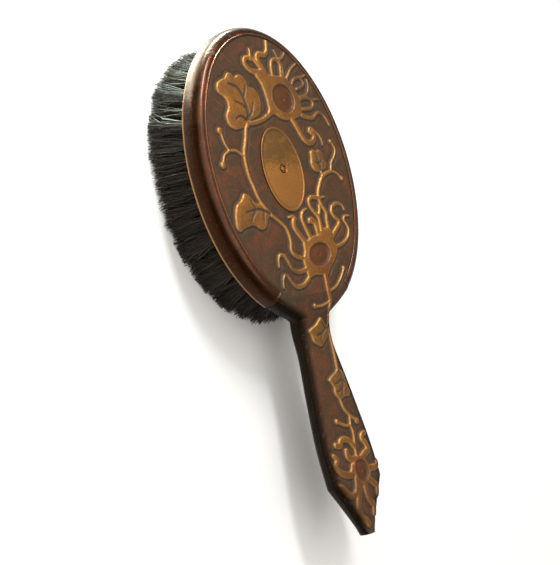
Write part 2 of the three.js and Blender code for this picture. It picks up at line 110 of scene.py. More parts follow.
# Each line: half-width at its start, half-width at its end, points.
HEAD_LINES = [
    # main stem, from the big leaf down the left side to the lower flower
    (1.0, 1.0, [(-4, 23), (-6.7, 22), (-11, 21), (-14.7, 20.6), (-16.8, 18.5), (-19, 13.3),
                (-21.3, 8.7)]),
    (0.9, 0.9, [(-21.3, 8.7), (-22.3, 4), (-22.3, -2), (-21.3, -7), (-20, -12.7), (-17.3, -17.3),
                (-14.7, -20.7)]),
    (0.8, 1.0, [(-14.7, -20.7), (-10.7, -24), (-8, -27.3), (-7.3, -32.7), (-8.3, -37),
                (-6.5, -39.6), (-2.5, -41)]),
    # berry branch
    (0.7, 0.6, [(-22.5, 6.5), (-26, 8.8), (-30, 9)]),
    (0.6, 0.6, [(-30, 9), (-31.6, 12.5), (-32.3, 17)]),
    (0.6, 0.6, [(-30, 9), (-33.5, 6.8), (-35, 3.6)]),
    # tendrils of the upper flower, from the left round to the right
    (1.5, 0.9, [(-1.5, 44), (-5.5, 45), (-8, 47.8), (-7.5, 50.3), (-4.5, 51), (-2, 50)]),
    (1.3, 0.3, [(-3.6, 50.6), (-3.3, 55.3)]),
    (0.9, 0.9, [(-2, 50), (-0.6, 48), (0.8, 46)]),
    (1.6, 0.9, [(2.5, 45), (0.8, 48.5), (0.4, 51.2), (2.2, 52.8), (5.2, 52.4), (7.2, 54),
                (8.2, 57), (9, 60.3)]),
    (1.0, 0.9, [(7.3, 43.5), (7.8, 47), (9.3, 49.8), (12, 50.3), (13.7, 48), (13.2, 45), (12.8, 42.5)]),
    (0.9, 0.4, [(14, 43), (14.6, 47), (13.7, 50.3), (12.8, 52), (12, 54.8)]),
    (0.9, 0.4, [(13.7, 50.3), (16.5, 51.5), (19.5, 54.8)]),
    (0.9, 0.5, [(15.5, 41), (18, 43.8), (20.5, 46.2), (24, 48.4)]),
    (0.9, 0.5, [(18.2, 38.6), (20.6, 41), (24, 41.9), (27, 42.5), (30, 44)]),
    (0.8, 0.5, [(20.6, 36.3), (23.6, 37.2), (25.8, 38.6), (25.3, 40.6), (23.6, 41.6)]),
    (0.8, 0.5, [(20.8, 32.6), (24.4, 33), (27, 34.4), (28.4, 37), (28.8, 40.8)]),
    (0.9, 0.8, [(21, 31.6), (24.6, 32.2), (27.8, 31.5), (28.8, 29.5), (27.8, 27.6), (25, 26.8),
                (21, 26.8)]),
    (0.7, 0.3, [(28.6, 30.6), (31, 31.4), (34, 31.2)]),
    (1.1, 0.5, [(19.5, 24), (22.4, 23), (26.4, 22.5), (28.8, 24), (31, 25), (33.5, 24),
                (35, 21.5), (36, 18.7)]),
    (1.5, 1.3, [(12.8, 22), (14.6, 18), (16.3, 13.8), (18.3, 11.4), (21, 10.8), (23.6, 12.3),
                (24.3, 15)]),
    (1.3, 0.7, [(24.3, 15), (24, 17), (22.4, 17.4), (21.4, 15.9)]),
    (0.8, 0.4, [(24, 17), (26.6, 15), (28, 12.4), (28.3, 9.5)]),
    # right branch with its round leaf and bud
    (1.0, 0.8, [(16.6, -15.2), (17.4, -12.6), (18.8, -10), (22, -5.9), (25.3, -4), (29.3, -3)]),
    (0.6, 0.5, [(29.3, -3), (32.4, -3.9), (34.8, -6.2)]),
    (0.6, 0.5, [(29.3, -3), (30.9, 0.9), (33.9, 3.9), (35.6, 7.2), (34.4, 10.4)]),
    (0.7, 0.7, [(23, -4.9), (22.5, -1.2), (22.2, 2)]),
    # tendrils of the lower flower, from the left round to the right
    (1.5, 1.2, [(1, -33.4), (-1.4, -30), (-2.9, -27), (-2.6, -24.6), (-1.4, -23.1)]),
    (1.2, 0.5, [(-1.4, -23.1), (-2.2, -22.1), (-5, -22.3)]),
    (1.3, 0.5, [(5, -31.5), (3.6, -27), (2.9, -23.6), (3.8, -21.2), (5.4, -19.9), (7.2, -19.3)]),
    (1.4, 1.5, [(10.8, -30.5), (10.6, -27), (9.6, -25), (8.4, -24.6)]),
    (1.2, 0.6, [(8.4, -24.6), (7.4, -24.4), (6.8, -25.6)]),
    (1.1, 1.0, [(13.2, -30), (13.6, -26.5), (13.4, -23.6), (11.4, -20.6), (9.9, -18),
                (10.1, -15.6), (12, -14.3)]),
    (1.0, 1.0, [(12, -14.3), (14.4, -14.4), (16.6, -15.2)]),
    (1.1, 1.0, [(18.2, -28.6), (18.4, -25.4), (19.1, -22), (17.5, -18.3), (16.6, -15.2)]),
    (0.9, 0.9, [(13.4, -23.6), (14.9, -21.5), (15.9, -18.6)]),
    (0.8, 0.4, [(17, -15), (20.7, -14.6)]),
    (1.2, 0.9, [(19.3, -33), (23, -30), (25.5, -28), (26, -26.3), (24, -24.5), (22.7, -22),
                (24, -19.5)]),
    (1.0, 0.5, [(24, -19.5), (27.5, -18.2), (30.5, -19.2), (31.4, -21.6)]),
    (0.9, 0.5, [(20.5, -37.8), (25, -36.8), (29, -34.5), (31, -31), (30.3, -28), (29.4, -26),
                (30.8, -24.4), (33.6, -24.5)]),
    (1.1, 0.9, [(-2.5, -46.2), (-7, -46.6), (-10.5, -45), (-12, -41.5), (-13.2, -38.9)]),
    (0.9, 0.5, [(-13.2, -38.9), (-15.5, -38.2), (-17.2, -40), (-18, -43.4)]),
    (1.1, 0.9, [(-2, -50.2), (-6, -52.6), (-10.5, -52.8), (-13, -50), (-14.3, -47.7)]),
    (0.9, 0.5, [(-14.3, -47.7), (-16, -47.3), (-17.6, -49.5), (-18.3, -52.4)]),
    # stem that runs from the lower flower on to the handle
    (1.4, 0.9, [(8.8, -49), (8.4, -53), (8, -57), (8.6, -61), (7.6, -64.5)]),
    (0.6, 0.5, [(8.4, -57.2), (14, -55.4), (18, -52), (21, -48.6)]),
    (0.6, 0.5, [(8, -61.8), (3, -62.8), (-1, -62.5)]),
]
HANDLE_STEMS = [
    (0.8, 1.0, [(7.6, -64.5), (7.3, -70), (7.1, -75), (6.7, -80), (6.2, -85), (5.4, -91)]),
    (0.9, 0.7, [(1.8, -104), (2.3, -108), (4, -111), (4.6, -112.2), (4.1, -114.5), (3.5, -116.4)]),
    (0.7, 0.7, [(4.6, -112), (6.4, -113.4), (8, -114.8)]),
    (0.7, 0.7, [(3.5, -116.2), (0.2, -115.6), (-3.2, -113.5)]),
    (0.7, 0.9, [(3.5, -116.4), (4, -119), (3.6, -122), (2.3, -126.4), (1.8, -130.4)]),
]
HANDLE_PETALS = [
    (0.8, 0.9, [(2.2, -125.6), (0.4, -122.6), (-2.5, -121.2), (-4.9, -121.6), (-5.9, -123.3),
                (-8.4, -122.8)]),
    (1.2, 0.9, [(0.5, -130.7), (-1.6, -130.4), (-3.5, -128.7), (-3.1, -126.4)]),
    (1.2, 0.8, [(-2, -133.5), (-4, -136.2), (-7.5, -136), (-11, -133.8), (-11.8, -131),
                (-10.2, -129), (-11.4, -127)]),
    (1.2, 0.7, [(-2, -138.5), (-3, -142), (-4.6, -144.5), (-8, -145), (-10.5, -142.5),
                (-12, -140.2), (-13, -139.8)]),
    (1.3, 0.9, [(-1, -141.5), (-3.2, -146), (-4.9, -151), (-4.4, -155), (-2, -157), (-1, -158.8)]),
    (1.2, 0.8, [(2, -141.5), (2, -147), (3, -150), (4.5, -152), (3.6, -155.4)]),
    (1.1, 0.7, [(5.5, -140.6), (7.5, -143), (9, -144.6), (8.6, -148.2)]),
    (1.1, 0.6, [(7.3, -136.2), (10, -136.4), (12.4, -136), (13.6, -134.3)]),
    (1.2, 0.6, [(4.5, -131), (7, -129.6), (9.8, -128.3), (9.5, -125.5), (8.1, -123.2),
                (9, -121.4), (10.8, -121)]),
]
OUTLINES = {
    "big leaf": [
        (-15, 21.5), (-17.3, 19.2), (-19.5, 18.5), (-23.3, 18), (-26.6, 20), (-27.2, 24.3), (-24.6, 28.4),
        (-25.2, 32.2), (-28.4, 35), (-28.2, 38.6), (-25, 40.8), (-22.6, 41.6), (-20.3, 44), (-18, 43.6),
        (-16.5, 42.1), (-14.4, 43.2), (-11.6, 42.6), (-9.8, 40), (-9.2, 37.6), (-6, 36.6), (-4.2, 33),
        (-4.6, 28.4), (-7.2, 24.2),
    ],
    "side leaf": [
        (-15.5, -20), (-18, -17), (-20, -15), (-22.4, -14.4), (-25, -11), (-27.8, -9.8), (-29.4, -11.4),
        (-31, -13), (-33.9, -14.8), (-35.9, -18.7), (-36.8, -24.4), (-34.8, -26.4), (-32.6, -25.4),
        (-29.6, -24.6), (-26, -24.4), (-23.4, -26.2), (-21, -26.4), (-18.8, -25.2), (-17.6, -22.6),
    ],
    "round leaf": [
        (22.6, -2.4), (20.4, -3.2), (17.8, -1.8), (17, 1), (17.8, 3.6), (18.6, 6.8), (21, 7.8), (22.4, 6.8),
        (24.6, 7.6), (27, 5.8), (26.6, 3.2), (28, 0.6), (26, -1.8),
    ],
    "upper flower": [
        (-1, 26.5), (-0.8, 33), (-1.8, 39), (-3.8, 42.8), (-1, 45.6), (2.5, 45.6), (5.5, 43.2), (9, 42.8),
        (13.5, 42.6), (16, 41), (18.3, 38.5), (20, 35), (21, 31), (20.8, 27), (19, 23.8), (14.5, 22.2),
        (9, 21.6), (5, 22.8), (2, 24.4), (-2, 22.6), (-4.5, 22.4), (-4, 24.4),
    ],
    "lower flower": [
        (-3, -41.8), (-1, -38), (-0.3, -34), (2.5, -33.2), (6, -31.8), (10.5, -31.2), (12.5, -29.2),
        (18.5, -28.6), (20, -32), (19.6, -35), (21, -38.4), (18, -43), (13.5, -47), (10.5, -50), (7, -49.8),
        (3, -49.2), (-2, -50.2), (-2.8, -46.4),
    ],
    "neck leaf": [
        (7, -71), (5.2, -71.6), (4, -69.6), (2, -67.4), (0.4, -68.2), (-1.6, -70), (-4, -71), (-6.3, -72.4),
        (-5.2, -74.6), (-4.6, -77.4), (-2.4, -79.2), (0, -80.2), (2.2, -79), (4.4, -77.2), (6.2, -75.4),
    ],
    "grip leaf": [
        (5.4, -90.6), (3, -92), (0, -93.4), (-2.1, -95), (-0.9, -97.2), (-0.4, -98.9), (-0.9, -101),
        (0, -103.2), (2, -104.8), (5, -103.8), (8, -103.9), (9.4, -102), (8.8, -99), (8.9, -96), (8.4, -93),
        (6.8, -91.2),
    ],
}
VEINS = [
    (0.9, 0.4, [(-14.8, 21.8), (-14, 25), (-14, 28), (-14.7, 33.3), (-16.7, 37), (-21.3, 38.7)]),
    (0.5, 0.25, [(-14.5, 32), (-13, 34.6), (-11.7, 37.4)]),
    (0.5, 0.25, [(-14, 27), (-16.6, 29.4), (-20, 30.7)]),
    (0.6, 0.25, [(-14.2, 23), (-11.6, 25.6), (-9.6, 29.6)]),
    (0.6, 0.25, [(-15, 21.8), (-17.6, 23.6), (-19.8, 23.8), (-22, 22.4)]),
    (0.7, 0.3, [(-15.9, -19.8), (-19.6, -18), (-23.3, -17.6), (-29.4, -18.4)]),
    (0.5, 0.25, [(-23, -17.5), (-24.2, -15.6), (-24.9, -13.2)]),
    (0.5, 0.25, [(-23.4, -17.8), (-25.6, -19.8), (-27.4, -22.2)]),
    (0.5, 0.25, [(-19, -18.3), (-19.8, -20.6), (-20.4, -23.2)]),
    (0.6, 0.25, [(22.6, -2), (22.3, 1.6), (21.6, 4.6)]),
    (0.4, 0.2, [(22.4, 0.6), (24.6, 2.4)]),
    (0.4, 0.2, [(22.4, 0.2), (20, 1.8)]),
    (0.6, 0.3, [(7, -71.8), (4.2, -72.8), (1.6, -74.5), (-1.8, -74.8)]),
    (0.45, 0.2, [(4.4, -72.6), (3.2, -71), (2.2, -69.8)]),
    (0.45, 0.2, [(1.4, -74.6), (0.8, -76.6)]),
    (0.6, 0.3, [(5.9, -92), (6, -95.4), (5.4, -99), (3.6, -102.4)]),
    (0.45, 0.2, [(5.9, -96), (3, -97), (0.8, -97.4)]),
    (0.45, 0.2, [(5.2, -99.4), (3, -100.6), (0.8, -100.9)]),
    (0.45, 0.2, [(6, -95.4), (7.4, -98)]),
    # seeds in the flowers' centres
    (0.35, 0.35, [(10.2, 31.2), (10.2, 31.7)]),
    (0.35, 0.35, [(7.8, -40.3), (8.3, -40.3)]),
    (0.3, 0.3, [(2.2, -136.2), (2.2, -135.8)]),
]
LINE_SWELL = 0.14
PETAL_SWELL = 0.45
PETAL_FULLNESS = 0.22   # how much wider the handle's petals are than their curves say
# Buds and berries: x, y, radius.
BUDS = [
    (-32.4, 17.9, 1.7), (-35.3, 2.9, 1.7), (35.4, -6.8, 1.3), (34.1, 11, 1.2), (21.4, -48, 1.2),
    (-1.4, -62.4, 1.2), (8.3, -115.2, 1.5), (-3.8, -113.2, 1.4), (22.9, 15.4, 1.5), (8.8, -24.9, 1.7),
]
# Where the relief's patina differs: x, y, radius, strength.
TONES = {
    "grey_patina": [
        (25, 41, 13, 1.0), (31, 27, 9, 0.8), (-12, -46, 7, 0.9), (-17, -49, 6, 0.7), (24, 10, 8, 0.5),
        (12, 53, 5, 0.6), (-28, -20, 7, 0.35), (-7, -143, 12, 0.75), (4, -98, 8, 0.35), (3, -152, 12, 0.5),
        (0, -86, 9, 0.45),
    ],
    "olive_patina": [
        (0, -75, 8, 0.9), (2, -106, 14, 0.55), (27, -19, 5, 0.7), (4, 34, 8, 0.4), (22, 2, 6, 0.5),
    ],
    "red_copper": [
        (9, -56, 8, 0.9), (10, -47, 5, 0.6), (-33, 14, 6, 0.8), (-29, 8, 5, 0.5), (33, 9, 5, 0.6),
        (-26, -21, 5, 0.4), (2, -132, 12, 0.6), (0, -152, 8, 0.5),
    ],
}
# Dished flower centres: x, y, half-length, half-width, tilt in degrees, width of the ring round it.
DISHES = [
    (10, 31.7, 6.9, 6.6, 90, 0.9),
    (8, -40.3, 7.1, 5.1, 17, 0.9),
    (2.2, -136, 4.9, 4.1, 90, 1.7),
]


# ---- Properties ----


class BrushSizes(bpy.types.PropertyGroup):
    relief_height: FloatProperty(
        name="Relief height", description="How far the embossed pattern stands above the field",
        default=0.85 * MM, min=0.0, unit="LENGTH")
    sheet_thickness: FloatProperty(
        name="Sheet thickness", description="Thickness of the stamped back plate",
        default=SHEET * MM, min=0.0, unit="LENGTH")
    bead_height: FloatProperty(
        name="Bead height", description="Height of the fine bead between rim and field",
        default=0.4 * MM, min=0.0, unit="LENGTH")
    bristle_diameter: FloatProperty(
        name="Bristle diameter", description="Diameter of one bristle at its root",
        default=0.34 * MM, min=0.0, unit="LENGTH")
    bristles_per_tuft: IntProperty(
        name="Bristles per tuft", description="Bristles drawn through one hole of the board",
        default=300, min=10)
    tuft_patterns: IntProperty(
        name="Tuft patterns", description="Different tufts that are made and then placed in turn",
        default=14, min=1)


def colour_property(label, words, value):
    return FloatVectorProperty(name=label, description=words, subtype="COLOR", size=4, min=0.0, max=1.0,
                               default=(*value, 1.0))


class BrushColours(bpy.types.PropertyGroup):
    ground: colour_property("Ground", "Aged brown of the stamped field", (0.080, 0.034, 0.010))
    ground_olive: colour_property("Olive ground", "Cooler patches of the field", (0.058, 0.035, 0.013))
    ground_red: colour_property(
        "Red ground", "Warm patches where the copper shows", (0.170, 0.043, 0.011))
    relief: colour_property("Relief", "Rubbed golden copper of the pattern", (0.46, 0.185, 0.021))
    # Painted highlight colour for the pattern's edges.
    painted_edge_highlight: colour_property(
        "Relief edge", "Brightest copper on the pattern's edges", (0.56, 0.28, 0.060))
    relief_pink: colour_property("Pink relief", "Paler rubbed copper", (0.27, 0.120, 0.045))
    relief_grey: colour_property("Grey relief", "Relief still under grey patina", (0.100, 0.072, 0.048))
    relief_olive: colour_property(
        "Olive relief", "Relief with a greenish gold patina", (0.21, 0.135, 0.034))
    relief_red: colour_property("Red relief", "Relief rubbed down to red copper", (0.30, 0.078, 0.018))
    recess: colour_property(
        "Recess", "Dark patina left in grooves and round the pattern", (0.036, 0.022, 0.012))
    rim: colour_property("Rim", "Polished dark reddish copper of the rim band", (0.029, 0.0100, 0.0036))
    rim_shoulder: colour_property(
        "Rim shoulder", "Redder copper over the rim's shoulder", (0.055, 0.021, 0.009))
    rim_red: colour_property(
        "Red rim", "Bare red copper on the shoulder beside the bead", (0.200, 0.046, 0.016))
    # Bright worn copper, also used for the painted highlight along the rim wall's lower edge.
    rim_worn_and_glint: colour_property("Worn rim", "Bright copper where the rim is rubbed", (0.52, 0.25, 0.075))
    # Partly the handle's dark patina, partly painted shade: made nearly black for sides that face away from
    # the light.
    shell: colour_property(
        "Handle", "Nearly black brown of the handle's lower half", (0.009, 0.0055, 0.003))
    medallion: colour_property("Medallion", "Golden bronze of the medallion", (0.375, 0.158, 0.036))
    # Painted shade: the darker olive laid over the medallion's upper half, mottled like patina.
    medallion_painted_shade: colour_property(
        "Medallion shade", "Olive patina on the medallion", (0.135, 0.078, 0.022))
    bristle: colour_property("Bristle", "Natural dark bristle", (0.016, 0.012, 0.008))
    bristle_tip: colour_property("Bristle tip", "Browner, split bristle tips", (0.040, 0.031, 0.022))
    wood: colour_property("Board", "Dark stained board", (0.060, 0.030, 0.016))
    brass: colour_property("Brass", "Pins and wire", (0.42, 0.28, 0.10))
    floor: colour_property("Floor", "Pale studio floor", (0.86, 0.86, 0.85))


# ---- Outline helpers, millimetres ----


def through(table, at):
    """Smooth curve through (position, value) pairs, level beyond both ends; works on arrays."""
    xs = np.array([row[0] for row in table], float)
    ys = np.array([row[1] for row in table], float)
    slopes = np.empty_like(ys)
    slopes[1:-1] = (ys[2:] - ys[:-2]) / (xs[2:] - xs[:-2])
    slopes[0] = (ys[1] - ys[0]) / (xs[1] - xs[0])
    slopes[-1] = (ys[-1] - ys[-2]) / (xs[-1] - xs[-2])
    place = np.clip(np.asarray(at, float), xs[0], xs[-1])
    i = np.clip(np.searchsorted(xs, place, side="right") - 1, 0, len(xs) - 2)
    span = xs[i + 1] - xs[i]
    u = (place - xs[i]) / span
    level = ys[i] + (ys[i + 1] - ys[i]) * u * u * (3 - 2 * u)
    return level + span * (slopes[i] * u * (1 - u) ** 2 - slopes[i + 1] * u * u * (1 - u))


def half_width(down):
    """Outer half-width of the brush at a distance below the head's centre; works on arrays."""
    down = np.asarray(down, float)
    ratio = np.clip(down / (FIELD_B + RIM_WIDTH), -1, 1)
    oval = (FIELD_A + RIM_WIDTH) * np.sqrt(1 - ratio * ratio)
    taper = np.clip((down - CORNER_Y) / (TIP_Y - CORNER_Y), 0, 1)
    handle = through(HANDLE_HALF_WIDTH, down) * (1 - taper) + TIP_HALF_WIDTH * taper
    return (oval + handle + np.hypot(oval - handle, NECK_FILLET)) / 2


def outline_slope(down):
    step = 0.2
    return (half_width(down + step) - half_width(down - step)) / (2 * step)


def edge_round(down):
    """Width and depth of the rounding between face and side: the rim's shoulder at the neck, less below."""
    slope = np.clip(np.abs(outline_slope(down)), 0, 1.6)
    neck = smooth_step(76, 59, down)
    across = (FACE_SOFTNESS + (RIM_WIDTH - SHOULDER_START - FACE_SOFTNESS) * neck) * np.hypot(1, slope)
    return np.minimum(across, 0.6 * half_width(down)), FACE_EDGE + (SHOULDER_DEPTH - FACE_EDGE) * neck


def side_x(down, depth):
    """Distance out from the middle of the rounded side at a depth below the face."""
    across, deep = edge_round(down)
    left = np.clip(1 - depth / deep, 0, 1)
    return half_width(down) - across + across * np.sqrt(1 - left * left)


def oval_point(angle, offset):
    """Points on the field's oval moved out along its normal; works on arrays."""
    nx, ny = np.cos(angle) / FIELD_A, np.sin(angle) / FIELD_B
    size = np.hypot(nx, ny)
    return FIELD_A * np.cos(angle) + offset * nx / size, FIELD_B * np.sin(angle) + offset * ny / size


def smooth_step(low, high, value):
    u = np.clip((value - low) / (high - low), 0, 1)
    return u * u * (3 - 2 * u)


def bump_at(value, centre, width):
    return np.exp(-((value - centre) / width) ** 2)


# ---- Pattern helpers: signed depth inside each shape, in millimetres ----

OUTSIDE = -4.0          # depth given to every point that is well outside a shape


def smooth_line(points, closed=False, steps=5):
    """Points on a smooth curve through the given ones."""
    p = [np.array(point, float) for point in points]
    count = len(p)
    made = []
    spans = count if closed else count - 1
    for i in range(spans):
        if closed:
            a, b, c, d = p[i - 1], p[i], p[(i + 1) % count], p[(i + 2) % count]
        else:
            a, b, c, d = p[max(i - 1, 0)], p[i], p[i + 1], p[min(i + 2, count - 1)]
        for k in range(steps):
            u = k / steps
            made.append(0.5 * (2 * b + (c - a) * u + (2 * a - 5 * b + 4 * c - d) * u * u
                               + (3 * b - a - 3 * c + d) * u ** 3))
    if not closed:
        made.append(p[-1])
    return np.array(made)


def near(x, y, line, reach):
    low, high = line.min(0) - reach, line.max(0) + reach
    return np.nonzero((x > low[0]) & (x < high[0]) & (y > low[1]) & (y < high[1]))[0]


def segment_distances(px, py, line):
    """Distance from each point to each segment of a line, and how far along the segment."""
    start, way = line[:-1], np.diff(line, axis=0)
    length = np.maximum((way ** 2).sum(1), 1e-9)
    rx, ry = px[:, None] - start[None, :, 0], py[:, None] - start[None, :, 1]
    along = np.clip((rx * way[:, 0] + ry * way[:, 1]) / length, 0, 1)
    return np.hypot(rx - along * way[:, 0], ry - along * way[:, 1]), along


def line_depth(x, y, lines, swell=0.0):
    """Greatest depth inside any of the tapering lines, each made wider by the swell."""
    depth = np.full(x.shape, OUTSIDE)
    for first, last, points in lines:
        line = smooth_line(points)
        chosen = near(x, y, line, first + last - OUTSIDE)
        if not len(chosen):
            continue
        radii = np.linspace(first, last, len(line)) + swell
        distance, along = segment_distances(x[chosen], y[chosen], line)
        inside = radii[:-1] + along * np.diff(radii) - distance
        depth[chosen] = join_depths(depth[chosen], inside.max(1))
    return depth


def outline_depth(x, y, points):
    """Depth inside a closed outline, negative outside it."""
    line = smooth_line(points, closed=True, steps=4)
    line = np.vstack([line, line[:1]])
    depth = np.full(x.shape, OUTSIDE)
    chosen = near(x, y, line, -OUTSIDE)
    if not len(chosen):
        return depth
    px, py = x[chosen], y[chosen]
    distance = segment_distances(px, py, line)[0].min(1)
    ax, ay, bx, by = line[:-1, 0], line[:-1, 1], line[1:, 0], line[1:, 1]
    spans = (ay[None, :] > py[:, None]) != (by[None, :] > py[:, None])
    rise = np.where(by == ay, 1e-9, by - ay)
    crossing = (bx - ax) * (py[:, None] - ay) / rise + ax
    inside = ((spans & (px[:, None] < crossing)).sum(1) % 2) == 1
    depth[chosen] = np.maximum(np.where(inside, distance, -distance), OUTSIDE)
    return depth


def join_depths(first, second, softness=0.5):
    """Union of two shapes with a small fillet between them."""
    blend = np.clip(0.5 + 0.5 * (second - first) / softness, 0, 1)
    return first + (second - first) * blend + softness * blend * (1 - blend) * 0.5


def dish_depth(x, y, dish):
    cx, cy, a, b, tilt, _ring = dish
    turn = math.radians(tilt)
    u = (x - cx) * math.cos(turn) + (y - cy) * math.sin(turn)
    v = -(x - cx) * math.sin(turn) + (y - cy) * math.cos(turn)
    reach = np.hypot(u / a, v / b)
    return (1 - reach) * (a + b) / 2


def pattern(x, y):
    """Depth inside the raised pattern, inside the veins, and inside the flowers' dishes."""
    motif = line_depth(x, y, HEAD_LINES + HANDLE_STEMS, LINE_SWELL)
    motif = join_depths(motif, line_depth(x, y, HANDLE_PETALS, PETAL_SWELL) + PETAL_FULLNESS)
    for points in OUTLINES.values():
        motif = join_depths(motif, outline_depth(x, y, points))
    for bx, by, radius in BUDS:
        motif = join_depths(motif, np.maximum(radius - np.hypot(x - bx, y - by), OUTSIDE))
    dish = np.full(x.shape, OUTSIDE)
    for each in DISHES:
        inside = np.maximum(dish_depth(x, y, each), OUTSIDE)
        dish = np.maximum(dish, inside)
        motif = join_depths(motif, inside + each[5])
    return motif, line_depth(x, y, VEINS), dish


# Parts of the relief, as shares of its full height.
CROWN = 0.22
DITCH = 0.30
VEIN_CUT = 0.75
DISH_CUT = 0.95
DISH_SWELL = 0.18
DISH_RING = 0.16


def relief_height(motif, vein, dish, full):
    """Height of the stamped relief over the field for a given full height."""
    rise = smooth_step(-0.35, 0.85, motif) * full
    crown = CROWN * full * smooth_step(0.6, 3.2, motif)
    ditch = DITCH * full * bump_at(motif, -0.75, 0.5)
    veins = VEIN_CUT * full * smooth_step(-0.35, 0.45, vein) * smooth_step(0.0, 0.9, motif)
    bowl = full * (DISH_CUT * smooth_step(-0.1, 1.1, dish) - DISH_SWELL * smooth_step(1.5, 5.0, dish))
    ring = DISH_RING * full * bump_at(dish, -0.45, 0.45)
    return rise + crown - ditch - veins - bowl + ring


# ---- Mesh helpers ----


def coordinates(mesh):
    flat = np.empty(len(mesh.vertices) * 3)
    mesh.vertices.foreach_get("co", flat)
    return flat.reshape(-1, 3)


def set_coordinates(mesh, points):
    mesh.vertices.foreach_set("co", np.ascontiguousarray(points).ravel())
    mesh.update()


def in_place(points):
    """Millimetres from the head's centre to metres in the frame."""
    return points * MM + np.array(CENTRE)


def paint(mesh, name, values):
    layer = mesh.attributes.new(name, "FLOAT", "POINT")
    layer.data.foreach_set("value", np.ascontiguousarray(values, dtype=np.float32))


def new_piece(name, bm):
    mesh = bpy.data.meshes.new(name)
    bm.to_mesh(mesh)
    bm.free()
    piece = bpy.data.objects.new(name, mesh)
    bpy.context.scene.collection.objects.link(piece)
    mesh.polygons.foreach_set("use_smooth", [True] * len(mesh.polygons))
    return piece


def settle(piece, material, slot, *nodes):
    """Gives a finished piece its material and body, and hides the nodes that it stands for. The slot is not
    used.
    """
    piece.data.materials.clear()
    piece.data.materials.append(material)
    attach(piece, BODY)
    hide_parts(*nodes)


def apply_modifiers(piece):
    graph = bpy.context.evaluated_depsgraph_get()
    finished = bpy.data.meshes.new_from_object(piece.evaluated_get(graph), depsgraph=graph)
    piece.modifiers.clear()
    piece.data = finished


def grid(bm, across, along):
    """Grid of the given numbers of cells over -1..1 both ways; returns its vertices."""
    made = bmesh.ops.create_grid(bm, x_segments=across, y_segments=along, size=1.0)
    return made["verts"]


# ---- Shader helpers ----


class Shading:
    """Short calls for building one node tree."""

    def __init__(self, tree):
        self.tree = tree
        self.nodes = tree.nodes
        self.links = tree.links

    def add(self, kind, values=None, **settings):
        node = self.nodes.new(kind)
        for key, value in settings.items():
            setattr(node, key, value)
        for key, value in (values or {}).items():
            self.put(value, node.inputs[key])
        return node

    def put(self, value, socket):
        if isinstance(value, bpy.types.NodeSocket):
            self.links.new(value, socket)
        else:
            socket.default_value = value

    def maths(self, operation, a, b):
        return self.add("ShaderNodeMath", {0: a, 1: b}, operation=operation).outputs[0]

    def times(self, a, b):
        return self.maths("MULTIPLY", a, b)

    def plus(self, a, b):
        return self.maths("ADD", a, b)

    def minus(self, a, b):
        return self.maths("SUBTRACT", a, b)

    def larger(self, a, b):
        return self.maths("MAXIMUM", a, b)

    def mix(self, factor, a, b, blend="MIX"):
        node = self.add("ShaderNodeMix", data_type="RGBA", blend_type=blend)
        self.put(factor, node.inputs["Factor"])
        self.put(a, node.inputs["A"])
        self.put(b, node.inputs["B"])
        return node.outputs["Result"]

    def mix_value(self, factor, a, b):
        node = self.add("ShaderNodeMix", {0: factor, 2: a, 3: b}, data_type="FLOAT")
        return node.outputs[0]

    def ramp(self, value, low, high, from_value=0.0, to_value=1.0):
        node = self.add("ShaderNodeMapRange", {0: value, 1: low, 2: high, 3: from_value, 4: to_value},
                        interpolation_type="SMOOTHSTEP")
        return node.outputs[0]

    def noise(self, vector, scale, detail=3.0, roughness=0.55, distortion=0.0):
        node = self.add("ShaderNodeTexNoise", {"Vector": vector, "Scale": scale, "Detail": detail,
                                               "Roughness": roughness, "Distortion": distortion})
        return node.outputs["Fac"]

    def attribute(self, name):
        return self.add("ShaderNodeAttribute", attribute_name=name).outputs["Fac"]

    def millimetres(self, move=(0, 0, 0), stretch=(1, 1, 1)):
        """Object coordinates in millimetres, moved and stretched."""
        source = self.add("ShaderNodeTexCoord").outputs["Object"]
        node = self.add("ShaderNodeMapping", {"Vector": source, "Location": move,
                                              "Scale": tuple(1 / MM * s for s in stretch)})
        return node.outputs["Vector"]


def effect(name, inputs, outputs):
    """A new shader node group; inputs and outputs are (name, kind, default) and (name, kind)."""
    tree = bpy.data.node_groups.new(name, "ShaderNodeTree")
    kinds = {"value": "NodeSocketFloat", "vector": "NodeSocketVector"}
    for label, kind, default in inputs:
        socket = tree.interface.new_socket(name=label, in_out="INPUT", socket_type=kinds[kind])
        if default is not None:
            socket.default_value = default
    for label, kind in outputs:
        tree.interface.new_socket(name=label, in_out="OUTPUT", socket_type=kinds[kind])
    s = Shading(tree)
    return s, s.add("NodeGroupInput").outputs, s.add("NodeGroupOutput").inputs


def patina_effect():
    """Mottled patina: broad cloudy patches, small speckle, and dark pits."""
    name = "Mottled Patina"
    if name in bpy.data.node_groups:
        return bpy.data.node_groups[name]
    s, given, out = effect(
        name,
        [("Vector", "vector", None), ("Patch Scale", "value", 0.1), ("Speckle Scale", "value", 1.2)],
        [("Patches", "value"), ("Second Patches", "value"), ("Speckle", "value"), ("Pits", "value")])
    vector = given["Vector"]
    broad = s.noise(vector, given["Patch Scale"], 4.0, 0.6, 0.6)
    s.put(s.ramp(broad, 0.40, 0.62), out["Patches"])
    moved = s.add("ShaderNodeVectorMath", {0: vector, 1: (37.0, 11.0, 5.0)}, operation="ADD").outputs[0]
    second = s.noise(moved, given["Patch Scale"], 5.0, 0.65, 0.9)
    s.put(s.ramp(second, 0.46, 0.66), out["Second Patches"])
    speckle = s.noise(vector, given["Speckle Scale"], 3.0, 0.7)
    s.put(s.ramp(speckle, 0.32, 0.70), out["Speckle"])
    pits = s.noise(moved, s.times(given["Speckle Scale"], 1.7), 2.0, 0.5)
    s.put(s.ramp(pits, 0.62, 0.74), out["Pits"])
    return s.tree


